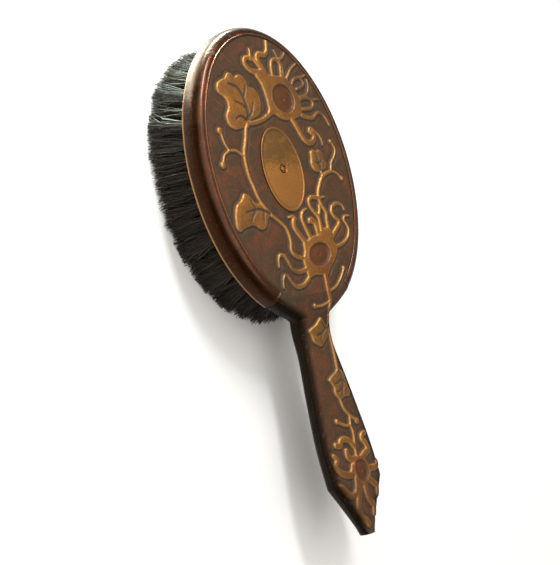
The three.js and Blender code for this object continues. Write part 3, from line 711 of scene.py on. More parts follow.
def scratch_effect():
    """Hairline scratches in two crossing directions."""
    name = "Hairline Scratches"
    if name in bpy.data.node_groups:
        return bpy.data.node_groups[name]
    s, given, out = effect(
        name,
        [("Vector", "vector", None), ("Density", "value", 1.0)],
        [("Scratches", "value")])
    made = []
    for turn, stretch in ((0.5, 26.0), (-0.9, 30.0)):
        turned = s.add("ShaderNodeVectorRotate", {"Vector": given["Vector"], "Angle": turn},
                       rotation_type="Z_AXIS").outputs[0]
        long = s.add("ShaderNodeVectorMath", {0: turned, 1: (1.0, 1.0 / stretch, 1.0)},
                     operation="MULTIPLY").outputs[0]
        lines = s.noise(long, s.times(given["Density"], 2.4), 2.0, 0.5)
        made.append(s.ramp(lines, 0.66, 0.74))
    s.put(s.larger(made[0], made[1]), out["Scratches"])
    return s.tree


def place_effect(s, tree, **values):
    node = s.add("ShaderNodeGroup")
    node.node_tree = tree
    for key, value in values.items():
        s.put(value, node.inputs[key.replace("_", " ")])
    return node.outputs


def start_material(name):
    material = bpy.data.materials.new(name)
    material.use_nodes = True
    s = Shading(material.node_tree)
    surface = s.nodes["Principled BSDF"]
    return material, s, surface


def bump(s, height, distance, strength):
    node = s.add("ShaderNodeBump", {"Height": height, "Distance": distance, "Strength": strength})
    return node.outputs[0]


def tinted(colour, red, green, blue):
    """A colour with each of its parts multiplied."""
    return tuple(min(1.0, part * factor) for part, factor in zip(colour[:3], (red, green, blue))) + (1.0,)


# ---- Materials ----


def embossed_copper(colours):
    """Aged stamped copper: brown ground, golden rubbed pattern, dark recesses, with a painted highlight on
    the pattern's edges, painted shade in its wide centres and painted shade on the handle's turned sides.
    """
    material, s, surface = start_material("Embossed copper")
    place = s.millimetres()
    motif, vein, dish = (s.attribute(name) for name in ("motif_depth", "vein_depth", "dish_depth"))
    patina = place_effect(s, patina_effect(), Vector=place, Patch_Scale=0.085, Speckle_Scale=0.9)
    small = place_effect(s, patina_effect(), Vector=place, Patch_Scale=0.34, Speckle_Scale=2.4)
    scratches = place_effect(s, scratch_effect(), Vector=place, Density=0.6)["Scratches"]

    ground = s.mix(patina["Patches"], colours.ground, colours.ground_olive)
    ground = s.mix(s.times(patina["Second Patches"], 0.75), ground, colours.ground_red)
    ground = s.mix(s.times(small["Second Patches"], 0.40), ground, colours.ground_red)
    ground = s.mix(s.times(small["Patches"], 0.35), ground, colours.ground_olive)
    ground = s.mix(s.times(patina["Speckle"], 0.40), ground, colours.recess)

    gold = s.mix(s.times(patina["Patches"], 0.55), colours.relief, colours.relief_pink)
    for tone, tint in (("olive_patina", colours.relief_olive), ("red_copper", colours.relief_red),
                       ("grey_patina", colours.relief_grey)):
        broken = s.times(s.attribute(tone), s.ramp(patina["Second Patches"], -0.9, 0.7))
        gold = s.mix(broken, gold, tint)
    gold = s.mix(s.times(small["Patches"], 0.45), gold, colours.relief_pink)
    gold = s.mix(s.times(small["Second Patches"], 0.30), gold, colours.relief_red)
    gold = s.mix(s.times(patina["Speckle"], 0.42), gold, colours.ground)
    shoulder = s.ramp(motif, 0.0, 0.5)
    # Painted shade: the centres of the pattern's wide shapes are darkened towards the ground colour, which
    # sets off the painted highlight on their edges.
    painted_centre_shade = s.times(s.ramp(motif, 0.6, 1.6), 0.26)
    gold = s.mix(painted_centre_shade, gold, colours.ground)
    # Painted highlight: the outer slopes of the pattern are lightened towards the brightest copper.
    edge = s.times(s.ramp(motif, -0.1, 0.25), s.ramp(motif, 0.85, 0.35))
    edge = s.times(edge, s.minus(0.6, s.times(s.attribute("grey_patina"), 0.4)))
    gold = s.mix(edge, gold, colours.painted_edge_highlight)
    soft_edge = s.plus(motif, s.times(s.minus(patina["Speckle"], 0.5), 0.35))
    raised = s.ramp(soft_edge, -0.28, 0.22)
    colour = s.mix(raised, ground, gold)

    bowl = s.ramp(dish, -0.1, 0.5)
    colour = s.mix(s.times(bowl, 0.85), colour, s.mix(0.35, ground, colours.ground_red))
    outline = s.times(s.ramp(motif, -2.2, -0.55), s.minus(1.0, shoulder))
    veins = s.times(s.ramp(vein, -0.45, 0.15), shoulder)
    bowl_edge = s.times(s.ramp(dish, -0.2, 0.35), s.ramp(dish, 2.4, 0.7))
    dark = s.larger(s.times(outline, 0.72), s.times(veins, 0.92))
    dark = s.larger(dark, s.times(bowl_edge, 0.60))
    dark = s.larger(dark, s.times(patina["Pits"], 0.55))
    dark = s.larger(dark, s.attribute("edge_grime"))
    colour = s.mix(dark, colour, colours.recess)
    # Painted shade: where the plate turns down over the handle's edge it takes the near-black handle colour.
    side = s.attribute("turned_side")
    colour = s.mix(side, colour, s.mix(s.times(patina["Speckle"], 0.4), colours.shell, colours.recess))
    colour = s.mix(s.times(scratches, 0.25), colour, colours.relief_pink)
    s.put(colour, surface.inputs["Base Color"])

    surface.inputs["Specular IOR Level"].default_value = 0.5
    metal = s.mix_value(dark, s.mix_value(raised, 0.45, 0.70), 0.15)
    s.put(s.mix_value(side, metal, 0.95), surface.inputs["Metallic"])
    rough = s.mix_value(raised, 0.50, 0.40)
    rough = s.plus(rough, s.times(patina["Speckle"], 0.12))
    rough = s.plus(rough, s.times(dark, 0.15))
    s.put(rough, surface.inputs["Roughness"])
    grain = s.plus(s.times(patina["Speckle"], 0.6), s.times(patina["Pits"], -0.8))
    grain = s.minus(grain, s.times(scratches, 0.4))
    s.put(bump(s, grain, 0.05 * MM, 0.8), surface.inputs["Normal"])
    return material


def rim_copper(colours):
    """Polished dark copper, rubbed on its bead, with a painted highlight along the wall's lower edge, and red
    copper and a little grime beside the bead.
    """
    material, s, surface = start_material("Rim copper")
    place = s.millimetres()
    patina = place_effect(s, patina_effect(), Vector=place, Patch_Scale=0.07, Speckle_Scale=0.8)
    scratches = place_effect(s, scratch_effect(), Vector=place, Density=0.8)["Scratches"]
    rubbed, grime, shoulder = (s.attribute(name) for name in ("rubbed", "grime", "shoulder"))
    # The rubbed mask holds the bead's wear and the painted highlight along the wall's lower edge; both take
    # the bright worn colour.
    worn = s.times(rubbed, s.ramp(s.noise(place, 0.35, 4.0, 0.6), 0.05, 0.45))
    cloudy = s.plus(shoulder, s.times(s.minus(patina["Patches"], 0.5), 0.45))
    colour = s.mix(s.ramp(cloudy, 0.0, 1.0), colours.rim, colours.rim_shoulder)
    red = s.times(s.attribute("beside_bead"), s.ramp(patina["Second Patches"], -0.4, 1.0))
    colour = s.mix(s.times(red, 0.8), colour, colours.rim_red)
    colour = s.mix(worn, colour, colours.rim_worn_and_glint)
    colour = s.mix(s.times(patina["Pits"], 0.35), colour, colours.recess)
    colour = s.mix(grime, colour, colours.recess)
    colour = s.mix(s.times(scratches, 0.15), colour, colours.rim_worn_and_glint)
    s.put(colour, surface.inputs["Base Color"])
    s.put(s.mix_value(grime, 1.0, 0.3), surface.inputs["Metallic"])
    rough = s.plus(0.25, s.times(patina["Speckle"], 0.08))
    rough = s.plus(rough, s.times(patina["Patches"], 0.07))
    rough = s.plus(rough, s.times(grime, 0.3))
    s.put(rough, surface.inputs["Roughness"])
    s.put(s.mix_value(shoulder, 0.0, 0.28), surface.inputs["Coat Weight"])
    surface.inputs["Coat Roughness"].default_value = 0.12
    height = s.minus(s.noise(place, 0.16, 2.0, 0.4), s.times(scratches, 0.03))
    height = s.minus(height, s.times(patina["Pits"], 0.04))
    s.put(bump(s, height, 0.35 * MM, 0.6), surface.inputs["Normal"])
    return material


def shell_copper(colours):
    """Nearly black smooth patina, partly painted shade for the handle's shaded sides, rubbed brown along the
    edges.
    """
    material, s, surface = start_material("Dark handle copper")
    place = s.millimetres()
    patina = place_effect(s, patina_effect(), Vector=place, Patch_Scale=0.06, Speckle_Scale=0.9)
    scratches = place_effect(s, scratch_effect(), Vector=place, Density=0.8)["Scratches"]
    rubbed = s.attribute("rubbed")
    worn = s.times(rubbed, s.ramp(s.noise(place, 0.4, 4.0, 0.6), 0.30, 0.62))
    # The base is the near-black handle colour, partly dark patina and partly painted shade.
    colour = s.mix(s.times(patina["Patches"], 0.2), colours.shell, colours.recess)
    colour = s.mix(s.times(patina["Second Patches"], 0.25), colour, colours.rim)
    colour = s.mix(s.times(worn, 0.5), colour, colours.rim)
    colour = s.mix(s.times(scratches, 0.2), colour, colours.rim)
    s.put(colour, surface.inputs["Base Color"])
    surface.inputs["Metallic"].default_value = 0.95
    rough = s.plus(0.36, s.times(patina["Speckle"], 0.12))
    rough = s.plus(rough, s.times(scratches, 0.1))
    s.put(rough, surface.inputs["Roughness"])
    height = s.minus(patina["Speckle"], s.times(scratches, 0.6))
    s.put(bump(s, height, 0.03 * MM, 0.7), surface.inputs["Normal"])
    return material


def turned_bronze(colours):
    """Golden bronze with fine turned lines; its upper half is darker olive, painted shade mottled like
    patina.
    """
    material, s, surface = start_material("Turned bronze")
    place = s.millimetres()
    centre = CENTRE / MM + Vector((MEDALLION["x"], MEDALLION["y"], 0))
    ratio = MEDALLION["a"] / MEDALLION["b"]
    oval = s.millimetres(move=(-centre.x, -centre.y * ratio, 0), stretch=(1, ratio, 0))
    reach = s.add("ShaderNodeVectorMath", {0: oval}, operation="LENGTH").outputs["Value"]
    patina = place_effect(s, patina_effect(), Vector=place, Patch_Scale=0.16, Speckle_Scale=1.2)
    rings = s.add("ShaderNodeTexNoise", {"W": s.times(reach, 7.0), "Scale": 1.0, "Detail": 2.0},
                  noise_dimensions="1D").outputs["Fac"]
    # Painted shade: the upper half is darkened towards olive, its border broken up by speckle.
    split = s.add("ShaderNodeSeparateXYZ", {0: place})
    height_up = s.minus(split.outputs["Y"], centre.y + 1.0)
    broken = s.plus(height_up, s.times(s.minus(patina["Speckle"], 0.5), 5.0))
    shade = s.times(s.ramp(broken, -2.0, 3.5), 0.80)
    colour = s.mix(shade, colours.medallion, colours.medallion_painted_shade)
    colour = s.mix(s.times(patina["Second Patches"], 0.35), colour, colours.relief)
    colour = s.mix(s.times(patina["Speckle"], 0.28), colour, colours.ground)
    colour = s.mix(s.times(patina["Pits"], 0.5), colour, colours.recess)
    colour = s.mix(s.attribute("grime"), colour, colours.recess)
    colour = s.mix(s.times(s.attribute("rubbed"), 0.6), colour, colours.relief_pink)
    s.put(colour, surface.inputs["Base Color"])
    surface.inputs["Metallic"].default_value = 0.75
    rough = s.plus(0.36, s.times(patina["Speckle"], 0.16))
    s.put(rough, surface.inputs["Roughness"])
    height = s.plus(s.times(rings, 0.8), s.times(patina["Pits"], -0.6))
    s.put(bump(s, height, 0.05 * MM, 0.7), surface.inputs["Normal"])
    return material


def plain_metal(name, base, tarnish, roughness, scale, dirt=None):
    """Small fittings and hidden metal: tarnish patches, drawn scratches, and dirt where it is painted."""
    material, s, surface = start_material(name)
    place = s.millimetres()
    patina = place_effect(s, patina_effect(), Vector=place, Patch_Scale=scale, Speckle_Scale=2.5)
    scratches = place_effect(s, scratch_effect(), Vector=place, Density=1.4)["Scratches"]
    colour = s.mix(s.times(patina["Patches"], 0.6), base, tarnish)
    colour = s.mix(s.times(patina["Pits"], 0.5), colour, tarnish)
    if dirt is not None:
        colour = s.mix(s.attribute("grime"), colour, dirt)
    s.put(colour, surface.inputs["Base Color"])
    surface.inputs["Metallic"].default_value = 0.9
    s.put(s.plus(roughness, s.times(patina["Speckle"], 0.15)), surface.inputs["Roughness"])
    s.put(bump(s, scratches, -0.02 * MM, 0.6), surface.inputs["Normal"])
    return material


def stained_board(colours):
    """Dark stained close-grained wood, grain along the brush."""
    material, s, surface = start_material("Stained board")
    grain_place = s.millimetres(stretch=(1.0, 0.06, 1.0))
    place = s.millimetres()
    grain = s.noise(grain_place, 1.6, 5.0, 0.6, 0.4)
    pores = s.ramp(s.noise(grain_place, 5.0, 2.0, 0.5), 0.58, 0.68)
    patina = place_effect(s, patina_effect(), Vector=place, Patch_Scale=0.08, Speckle_Scale=0.7)
    colour = s.mix(s.ramp(grain, 0.3, 0.7), colours.wood, tinted(colours.wood, 2.1, 2.1, 2.1))
    colour = s.mix(s.times(pores, 0.7), colour, colours.recess)
    colour = s.mix(s.times(patina["Patches"], 0.4), colour, colours.recess)
    s.put(colour, surface.inputs["Base Color"])
    s.put(s.plus(0.42, s.times(grain, 0.25)), surface.inputs["Roughness"])
    s.put(bump(s, s.minus(grain, pores), 0.08 * MM, 0.7), surface.inputs["Normal"])
    return material


def powdery(name, base, dark, scale, distance):
    """Filling and card: matt, fibrous or grainy."""
    material, s, surface = start_material(name)
    place = s.millimetres()
    patina = place_effect(s, patina_effect(), Vector=place, Patch_Scale=scale, Speckle_Scale=scale * 9)
    colour = s.mix(patina["Patches"], base, dark)
    colour = s.mix(s.times(patina["Pits"], 0.6), colour, dark)
    s.put(colour, surface.inputs["Base Color"])
    s.put(s.plus(0.75, s.times(patina["Speckle"], 0.2)), surface.inputs["Roughness"])
    s.put(bump(s, patina["Speckle"], distance, 0.8), surface.inputs["Normal"])
    return material


def natural_bristle(colours):
    """Dark bristle, a little glossy, browner towards the split tips."""
    material, s, surface = start_material("Natural bristle")
    tint, reach = s.attribute("strand_tint"), s.attribute("strand_reach")
    place = s.millimetres()
    colour = s.mix(tint, colours.bristle, tinted(colours.bristle, 4.2, 3.6, 3.1))
    tips = s.times(s.ramp(reach, 0.72, 1.0), s.plus(0.35, s.times(tint, 0.5)))
    colour = s.mix(tips, colour, colours.bristle_tip)
    dust = s.ramp(s.noise(place, 0.25, 3.0), 0.5, 0.8, 0.0, 0.25)
    colour = s.mix(dust, colour, colours.bristle_tip)
    s.put(colour, surface.inputs["Base Color"])
    s.put(s.plus(0.34, s.times(tint, 0.2)), surface.inputs["Roughness"])
    surface.inputs["Specular IOR Level"].default_value = 0.35
    s.put(bump(s, s.noise(place, 4.0, 2.0), 0.02 * MM, 0.5), surface.inputs["Normal"])
    return material


def studio_floor(colours):
    material, s, surface = start_material("Pale floor")
    place = s.millimetres()
    shade = s.noise(place, 0.02, 3.0)
    colour = s.mix(shade, colours.floor, tinted(colours.floor, 0.97, 0.97, 0.97))
    s.put(colour, surface.inputs["Base Color"])
    surface.inputs["Roughness"].default_value = 0.6
    return material


# ---- Back plate ----

NECK_SEAM = 60.0        # the fine head mesh meets the handle mesh this far below the centre
HEAD_CELLS = (208, 300)
HANDLE_CELLS = (104, 228)
UNDER_CUTS = 11
CROWN_START = 50.0      # above this the head's rows follow the oval's closing curve
CORNER_FILL = 1.5       # the plate's fill in the rounded corner at the rim's end
RIM_END = oval_point(-math.pi / 2 + RIM_GAP, 0.0)
RIM_END_OUT = oval_point(-math.pi / 2 + RIM_GAP, RIM_WIDTH)


def plate_row(t):
    """Distance up from the head's centre for a row position: 0..1 over the head, -1..0 over the handle."""
    crown_rows = 0.13
    low = -NECK_SEAM + (CROWN_START + NECK_SEAM) * t / (1 - crown_rows)
    left = np.clip((1 - t) / crown_rows, 0, 1)
    top = FIELD_B - (FIELD_B - CROWN_START) * left * left
    start = -NECK_SEAM + (TIP_Y - NECK_SEAM) * t
    return np.where(t < 0, start, np.where(t < 1 - crown_rows, low, top))


def plate_limit(y):
    """Where the plate meets the rim band: the field's oval, a filled corner, then the band's end face."""
    field = FIELD_A * np.sqrt(np.clip(1 - (y / FIELD_B) ** 2, 0, 1)) - 0.06
    run = (RIM_END[1] - y) / (RIM_END[1] - RIM_END_OUT[1])
    across = RIM_END[0] + (RIM_END_OUT[0] - RIM_END[0]) * run - 0.08
    filled = (field + across + np.hypot(field - across, CORNER_FILL)) / 2
    return np.where(y > RIM_END[1] + 6, field, filled)


def plate_surface(u, t):
    """Place of a plate vertex, and how far it is turned down over the handle's edge, 0 to 1."""
    y = plate_row(t)
    round_x, round_z = edge_round(-y)
    flat = half_width(-y) - round_x
    arc = math.pi / 2 * (round_x + round_z) / 2
    last = np.arccos(np.clip(1 - SEAM_DROP / round_z, 0, 1))
    skirt = np.maximum(SEAM_DROP - round_z, 0)
    whole = flat + arc * last / (math.pi / 2) + skirt
    limit = np.maximum(plate_limit(y), 0.02)
    bent = np.arcsin(np.clip((limit - flat) / round_x, 0, 1))
    stop = np.where(limit < flat, limit, flat + arc * bent / (math.pi / 2))
    stop = np.where(limit < flat + round_x * np.sin(last), np.minimum(stop, whole), whole)
    travel = np.abs(u) * stop
    turn = np.minimum(np.clip((travel - flat) / arc, 0, 1) * math.pi / 2, last)
    x = np.sign(u) * np.where(travel < flat, travel, flat + round_x * np.sin(turn))
    drop = round_z * (1 - np.cos(turn)) + np.maximum(travel - (whole - skirt), 0)
    return x, y, -through(FACE_DROP, -y) - drop, turn / (math.pi / 2)


def make_back_plate(sizes, colours):
    bm = bmesh.new()
    head = grid(bm, *HEAD_CELLS)
    for vert in head:
        vert.co.y = (vert.co.y + 1) / 2
    handle = grid(bm, *HANDLE_CELLS)
    for vert in handle:
        vert.co.y = (vert.co.y - 1) / 2
    joint_edges = [e for v in handle for e in v.link_edges if all(abs(w.co.y) < 1e-6 for w in e.verts)]
    bmesh.ops.subdivide_edges(bm, edges=list(dict.fromkeys(joint_edges)), cuts=1)
    seam = [v for v in bm.verts if abs(v.co.y) < 1e-6]
    bmesh.ops.remove_doubles(bm, verts=seam, dist=1e-5)
    outer = [e for e in bm.edges if e.is_boundary]
    skirt = bmesh.ops.extrude_edge_only(bm, edges=outer)["geom"]
    for vert in (v for v in skirt if isinstance(v, bmesh.types.BMVert)):
        vert.co.z = -1.0
    low = [e for e in bm.edges if e.is_boundary]
    sides = [e for e in low if all(abs(v.co.x) > 0.9999 for v in e.verts)]
    bmesh.ops.bridge_loops(bm, edges=sides)
    across = [e for e in bm.edges if abs(e.verts[0].co.x - e.verts[1].co.x) > 1.9]
    bmesh.ops.subdivide_edges(bm, edges=across, cuts=UNDER_CUTS, use_grid_fill=True)
    bmesh.ops.pointmerge(bm, verts=[v for v in bm.verts if v.co.y > 0.99999], merge_co=(0, 1, 0))
    bmesh.ops.contextual_create(bm, geom=[e for e in bm.edges if e.is_boundary])
    bmesh.ops.recalc_face_normals(bm, faces=bm.faces)
    piece = new_piece("back_plate_embossed", bm)
    raw = coordinates(piece.data)
    under_side = raw[:, 2] < -0.5
    x, y, z, turned = plate_surface(raw[:, 0], raw[:, 1])
    motif, vein, dish = pattern(x, y)
    full = sizes.relief_height / MM
    fade = 1 - smooth_step(0.45, 0.95, turned)
    field_edge = FIELD_B * (1 - np.hypot(x / FIELD_A, y / FIELD_B))
    kept = fade * np.where(y > RIM_END[1], smooth_step(0.0, 1.0, field_edge), 1.0)
    kept = kept * ~under_side
    z = z + relief_height(motif, vein, dish, full) * kept
    z = z + 0.05 * np.sin(x * 0.55 + 1.3) * np.sin(y * 0.41) * kept
    sheet = sizes.sheet_thickness / MM * under_side
    x = x - np.sign(x) * sheet * np.sin(turned * math.pi / 2)
    z = z - sheet * np.cos(turned * math.pi / 2)
    set_coordinates(piece.data, in_place(np.stack([x, y, z], 1)))
    top = ~under_side
    for name, values in (("motif_depth", motif), ("vein_depth", vein), ("dish_depth", dish)):
        paint(piece.data, name, np.where(top, values, OUTSIDE))
    for tone, rounds in TONES.items():
        shares = [share * bump_at(np.hypot(x - cx, y - cy), 0, radius) for cx, cy, radius, share in rounds]
        paint(piece.data, tone, np.clip(sum(shares), 0, 1))
    rim_side = np.where(y > RIM_END[1], smooth_step(1.3, 0.1, field_edge), 0.0)
    paint(piece.data, "edge_grime", 0.6 * rim_side * top)
    # Painted shade mask for the plate's turned-down sides.
    paint(piece.data, "turned_side", smooth_step(0.02, 0.55, turned) * top)
    settle(piece, embossed_copper(colours), "patinated_copper", "back_plate")


# ---- Rim band ----

SPIN_RADIUS = 100.0     # the section is spun on a circle of this radius, then laid on the oval
RIM_STEPS = 330
END_SPEED = 46.0        # millimetres along the band for each radian of the oval near its ends
END_CORNER = 1.6        # radius of the band's corner between the field and its end
END_CROWDING = 3.0      # the first and last twentieth of the rows cover this many millimetres
BEAD_HALF_WIDTH = 0.62
GROOVE_PLACE = 1.38
GROOVE_DEPTH = 0.12
NICK_DEPTH = 0.16
# Hairline cracks across the shoulder: angle round the oval, half-width, from and to offset.
NICKS = [(124.0, 0.20, 1.4, 5.6), (106.0, 0.40, 1.5, 3.6)]


def arc_points(cx, cz, rx, rz, first, last, steps):
    turns = [math.radians(first + (last - first) * k / steps) for k in range(steps + 1)]
    return [(cx + rx * math.cos(turn), cz + rz * math.sin(turn)) for turn in turns]


def rim_profile():
    """Section of the rim band, from the field out to the lip and back inside; and its outer points' count."""
    bead_rows = (0, 0.06, 0.15, 0.3, 0.46, 0.62, 0.78, 0.94, 1.09, 1.18, 1.24, 1.3, 1.36)
    skin = [(offset, 0.0) for offset in bead_rows]
    skin += arc_points(SHOULDER_START, -SHOULDER_DEPTH, RIM_WIDTH - SHOULDER_START, SHOULDER_DEPTH,
                       90, 0, 24)
    skin += [(RIM_WIDTH, -7.0), (RIM_WIDTH - 0.05, -8.4)]
    skin += arc_points(4.8, -9.2, 0.9, RIM_DEPTH - 9.2, -10, -90, 7)
    inside = [(3.3, -RIM_DEPTH)]
    inside += arc_points(LIP_EDGE + 0.3, -RIM_DEPTH + 0.4, 0.3, 0.4, -90, -180, 4)
    inside += [(LIP_EDGE, -RIM_DEPTH + SHEET), (4.9, -RIM_DEPTH + SHEET), (4.9, -5.6), (4.2, -3.0),
               (2.8, -2.0), (-2.2, -1.9), (-2.2, -1.1), (0.0, -1.1)]
    return skin + inside, len(skin)


def bead_rise(inset, height):
    """Rise of the bead and the fine groove beside it, by distance in from the band's edge."""
    crest = height * np.sqrt(np.clip(1 - ((inset - BEAD_HALF_WIDTH) / BEAD_HALF_WIDTH) ** 2, 0, 1))
    return crest - GROOVE_DEPTH * bump_at(inset, GROOVE_PLACE, 0.16)


def make_rim_band(sizes, colours):
    section, skin_count = rim_profile()
    sweep = 2 * math.pi - 2 * RIM_GAP
    bm = bmesh.new()
    on_skin = bm.verts.layers.float.new("skin")
    verts = [bm.verts.new((SPIN_RADIUS + offset, 0, height)) for offset, height in section]
    for vert in verts[:skin_count]:
        vert[on_skin] = 1.0
    edges = [bm.edges.new(pair) for pair in zip(verts, verts[1:] + verts[:1])]
    first = bmesh.ops.contextual_create(bm, geom=edges)["faces"]
    bmesh.ops.spin(bm, geom=first, cent=(0, 0, 0), axis=(0, 0, 1), angle=sweep, steps=RIM_STEPS)
    bmesh.ops.remove_doubles(bm, verts=bm.verts, dist=1e-6)
    bmesh.ops.recalc_face_normals(bm, faces=bm.faces)
    piece = new_piece("rim_band_polished", bm)
    mesh = piece.data
    skin = np.empty(len(mesh.vertices), dtype=np.float32)
    mesh.attributes["skin"].data.foreach_get("value", skin)
    mesh.attributes.remove(mesh.attributes["skin"])
    raw = coordinates(mesh)
    turn = np.mod(np.arctan2(raw[:, 1], raw[:, 0]) + 1e-4, 2 * math.pi) - 1e-4
    offset = np.hypot(raw[:, 0], raw[:, 1]) - SPIN_RADIUS
    height = raw[:, 2]
    # rows crowd towards both ends, where the bead turns the corner
    crowded = END_CROWDING / END_SPEED / sweep
    share = np.interp(turn / sweep, [0, 0.05, 0.95, 1], [0, crowded, 1 - crowded, 1])
    end = np.minimum(share, 1 - share) * sweep * END_SPEED
    lip = np.clip(END_CORNER - np.clip(offset, 0, None), 0, None)
    cut_back = (END_CORNER - np.sqrt(END_CORNER ** 2 - lip ** 2)) * np.clip(1 - end / 6, 0, 1)
    end = end + cut_back
    angle = -math.pi / 2 + RIM_GAP + np.where(share < 0.5, end / END_SPEED, sweep - end / END_SPEED)
    in_corner = (offset < END_CORNER) & (end < END_CORNER)
    corner = END_CORNER - np.hypot(END_CORNER - offset, END_CORNER - end)
    inset = np.where(in_corner, corner, np.minimum(offset, end))
    lean = np.arctan2(np.clip(offset - SHOULDER_START, 0, None) / (RIM_WIDTH - SHOULDER_START),
                      np.clip(height + SHOULDER_DEPTH, 0, None) / SHOULDER_DEPTH + 1e-6)
    fade = np.where(end < offset, 1 - 0.75 * smooth_step(1.5, 5.6, offset), 1.0)
    fade = fade * skin * (height > -RIM_DEPTH + 1.2)
    rise = bead_rise(inset, sizes.bead_height / MM) * fade
    wave = 0.05 * np.sin(angle * 7 + 0.6) + 0.03 * np.sin(angle * 17)
    wave = wave * smooth_step(2.0, 5.0, offset) * skin
    nick = np.zeros_like(angle)
    for place, width, low, high in NICKS:
        along = (angle - math.radians(place)) * END_SPEED
        reach = smooth_step(low, low + 0.8, offset) * smooth_step(high, high - 0.8, offset)
        nick += bump_at(along, 0, width) * reach
    nick = nick * (height > -6.0) * skin
    shifted = offset + (rise + wave) * np.sin(lean)
    lifted = height + rise * np.cos(lean) - NICK_DEPTH * nick
    x, y = oval_point(angle, shifted)
    set_coordinates(mesh, in_place(np.stack([x, y, lifted], 1)))
    groove = bump_at(inset, 1.40, 0.22) * fade
    buried = 1 - skin
    paint(mesh, "grime", np.clip(0.75 * groove + buried + 0.9 * nick, 0, 1))
    bead = bump_at(inset, BEAD_HALF_WIDTH, 0.42) * fade
    # Painted highlight: a bright glint along the wall's lower edge, added into the rubbed mask beside the
    # bead's real wear.
    painted_low_edge_glint = bump_at(height, -9.7, 0.55) * (offset > 4.6)
    paint(mesh, "rubbed", np.clip(0.16 * bead + painted_low_edge_glint, 0, 1) * skin)
    paint(mesh, "beside_bead", bump_at(offset, 1.5, 1.1) * skin * (height > -3.0))
    paint(mesh, "shoulder", smooth_step(5.3, 2.6, offset) * skin * (height > -SHOULDER_DEPTH))
    settle(piece, rim_copper(colours), "polished_copper", "rim_band")


# ---- Handle shell ----

SHELL_TOP = 50.0        # the shell's mesh starts this far below the head's centre
SHELL_GAP = 0.1         # hairline between the shell and the rim band's end
SHELL_WALL = 0.9
SHELL_CROWN = 0.9       # how far the grip's underside bulges
# Shares of the section's rows: the floor ends at the first, the rounded edge at the second.
FLOOR_PART, CORNER_PART = 0.36, 0.72


def shell_section(s, y):
    """Right half of the shell's outer surface: s runs from its inner edge below, out and up to the seam."""
    down = -y
    half = half_width(down)
    slope = np.clip(np.abs(outline_slope(down)), 0, 2.2)
    corner_x = np.minimum(UNDER_EDGE * np.hypot(1, slope), 0.7 * half)
    inner = (FIELD_A + LIP_EDGE) * np.sqrt(np.clip(1 - (y / (FIELD_B + LIP_EDGE)) ** 2, 0, 1))
    inner = np.minimum(inner, half - corner_x)
    bottom = -through(UNDERSIDE, down)
    face = -through(FACE_DROP, down)
    crown = SHELL_CROWN * smooth_step(64, 80, down) * smooth_step(TIP_Y + 6, 150, down)
    u = np.clip(s / FLOOR_PART, 0, 1)
    turn = np.clip((s - FLOOR_PART) / (CORNER_PART - FLOOR_PART), 0, 1) * math.pi / 2
    rise = np.clip((s - CORNER_PART) / (1 - CORNER_PART), 0, 1)
    flat_end = half - corner_x
    x_floor = inner + (flat_end - inner) * u
    x = np.where(s < FLOOR_PART, x_floor, flat_end + corner_x * np.sin(turn))
    bulge = crown * (1 - (x / np.maximum(half, 0.1)) ** 2)
    z = bottom + UNDER_EDGE * (1 - np.cos(turn)) - bulge
    wall_foot = face - (bottom + UNDER_EDGE)
    depth = wall_foot + (SEAM_DROP + 0.08 - wall_foot) * rise
    x = np.where(s > CORNER_PART, side_x(down, depth), x)
    z = np.where(s > CORNER_PART, face - depth, z)
    return x, z


def make_handle_shell(colours):
    bm = bmesh.new()
    grid(bm, 40, 300)
    cells = np.array([v.co[:] for v in bm.verts])
    s = (cells[:, 0] + 1) / 2
    t = (cells[:, 1] + 1) / 2
    down = SHELL_TOP + (TIP_Y - SHELL_TOP) * t ** 1.35
    x, z = shell_section(s, -down)
    for vert, px, py, pz in zip(bm.verts, x, -down, z):
        vert.co = (px, py, pz)
    # cut along the rim band's end face, with a hairline between
    side = Vector((RIM_END_OUT[1] - RIM_END[1], RIM_END[0] - RIM_END_OUT[0], 0)).normalized()
    corner = Vector((RIM_END[0], RIM_END[1], 0)) + SHELL_GAP * side
    whole = list(bm.verts) + list(bm.edges) + list(bm.faces)
    bmesh.ops.bisect_plane(bm, geom=whole, plane_co=corner, plane_no=side, clear_inner=True)
    whole = list(bm.verts) + list(bm.edges) + list(bm.faces)
    bmesh.ops.mirror(bm, geom=whole, axis="X", merge_dist=0.0)
    bmesh.ops.remove_doubles(bm, verts=[v for v in bm.verts if abs(v.co.x) < 0.01], dist=0.02)
    tip = [e for e in bm.edges if e.is_boundary and all(abs(v.co.y + TIP_Y) < 1e-3 for v in e.verts)]
    bmesh.ops.contextual_create(bm, geom=tip)
    bmesh.ops.recalc_face_normals(bm, faces=bm.faces)
    down_face = min(bm.faces, key=lambda f: f.calc_center_median().z)
    if down_face.normal.z > 0:
        bmesh.ops.reverse_faces(bm, faces=bm.faces)
    piece = new_piece("handle_shell_smooth", bm)
    raw = coordinates(piece.data)
    bottom = -through(UNDERSIDE, -raw[:, 1])
    corner_rub = bump_at(raw[:, 2] - bottom, 0.9, 0.8) * (np.abs(raw[:, 0]) > 0.6 * half_width(-raw[:, 1]))
    paint(piece.data, "rubbed", np.clip(0.7 * corner_rub, 0, 1))
    set_coordinates(piece.data, in_place(raw))
    wall = piece.modifiers.new("Wall", "SOLIDIFY")
    wall.thickness = SHELL_WALL * MM
    wall.offset = -1.0
    apply_modifiers(piece)
    settle(piece, shell_copper(colours), "dark_copper", "handle_shell")


# ---- Medallion and rivet ----


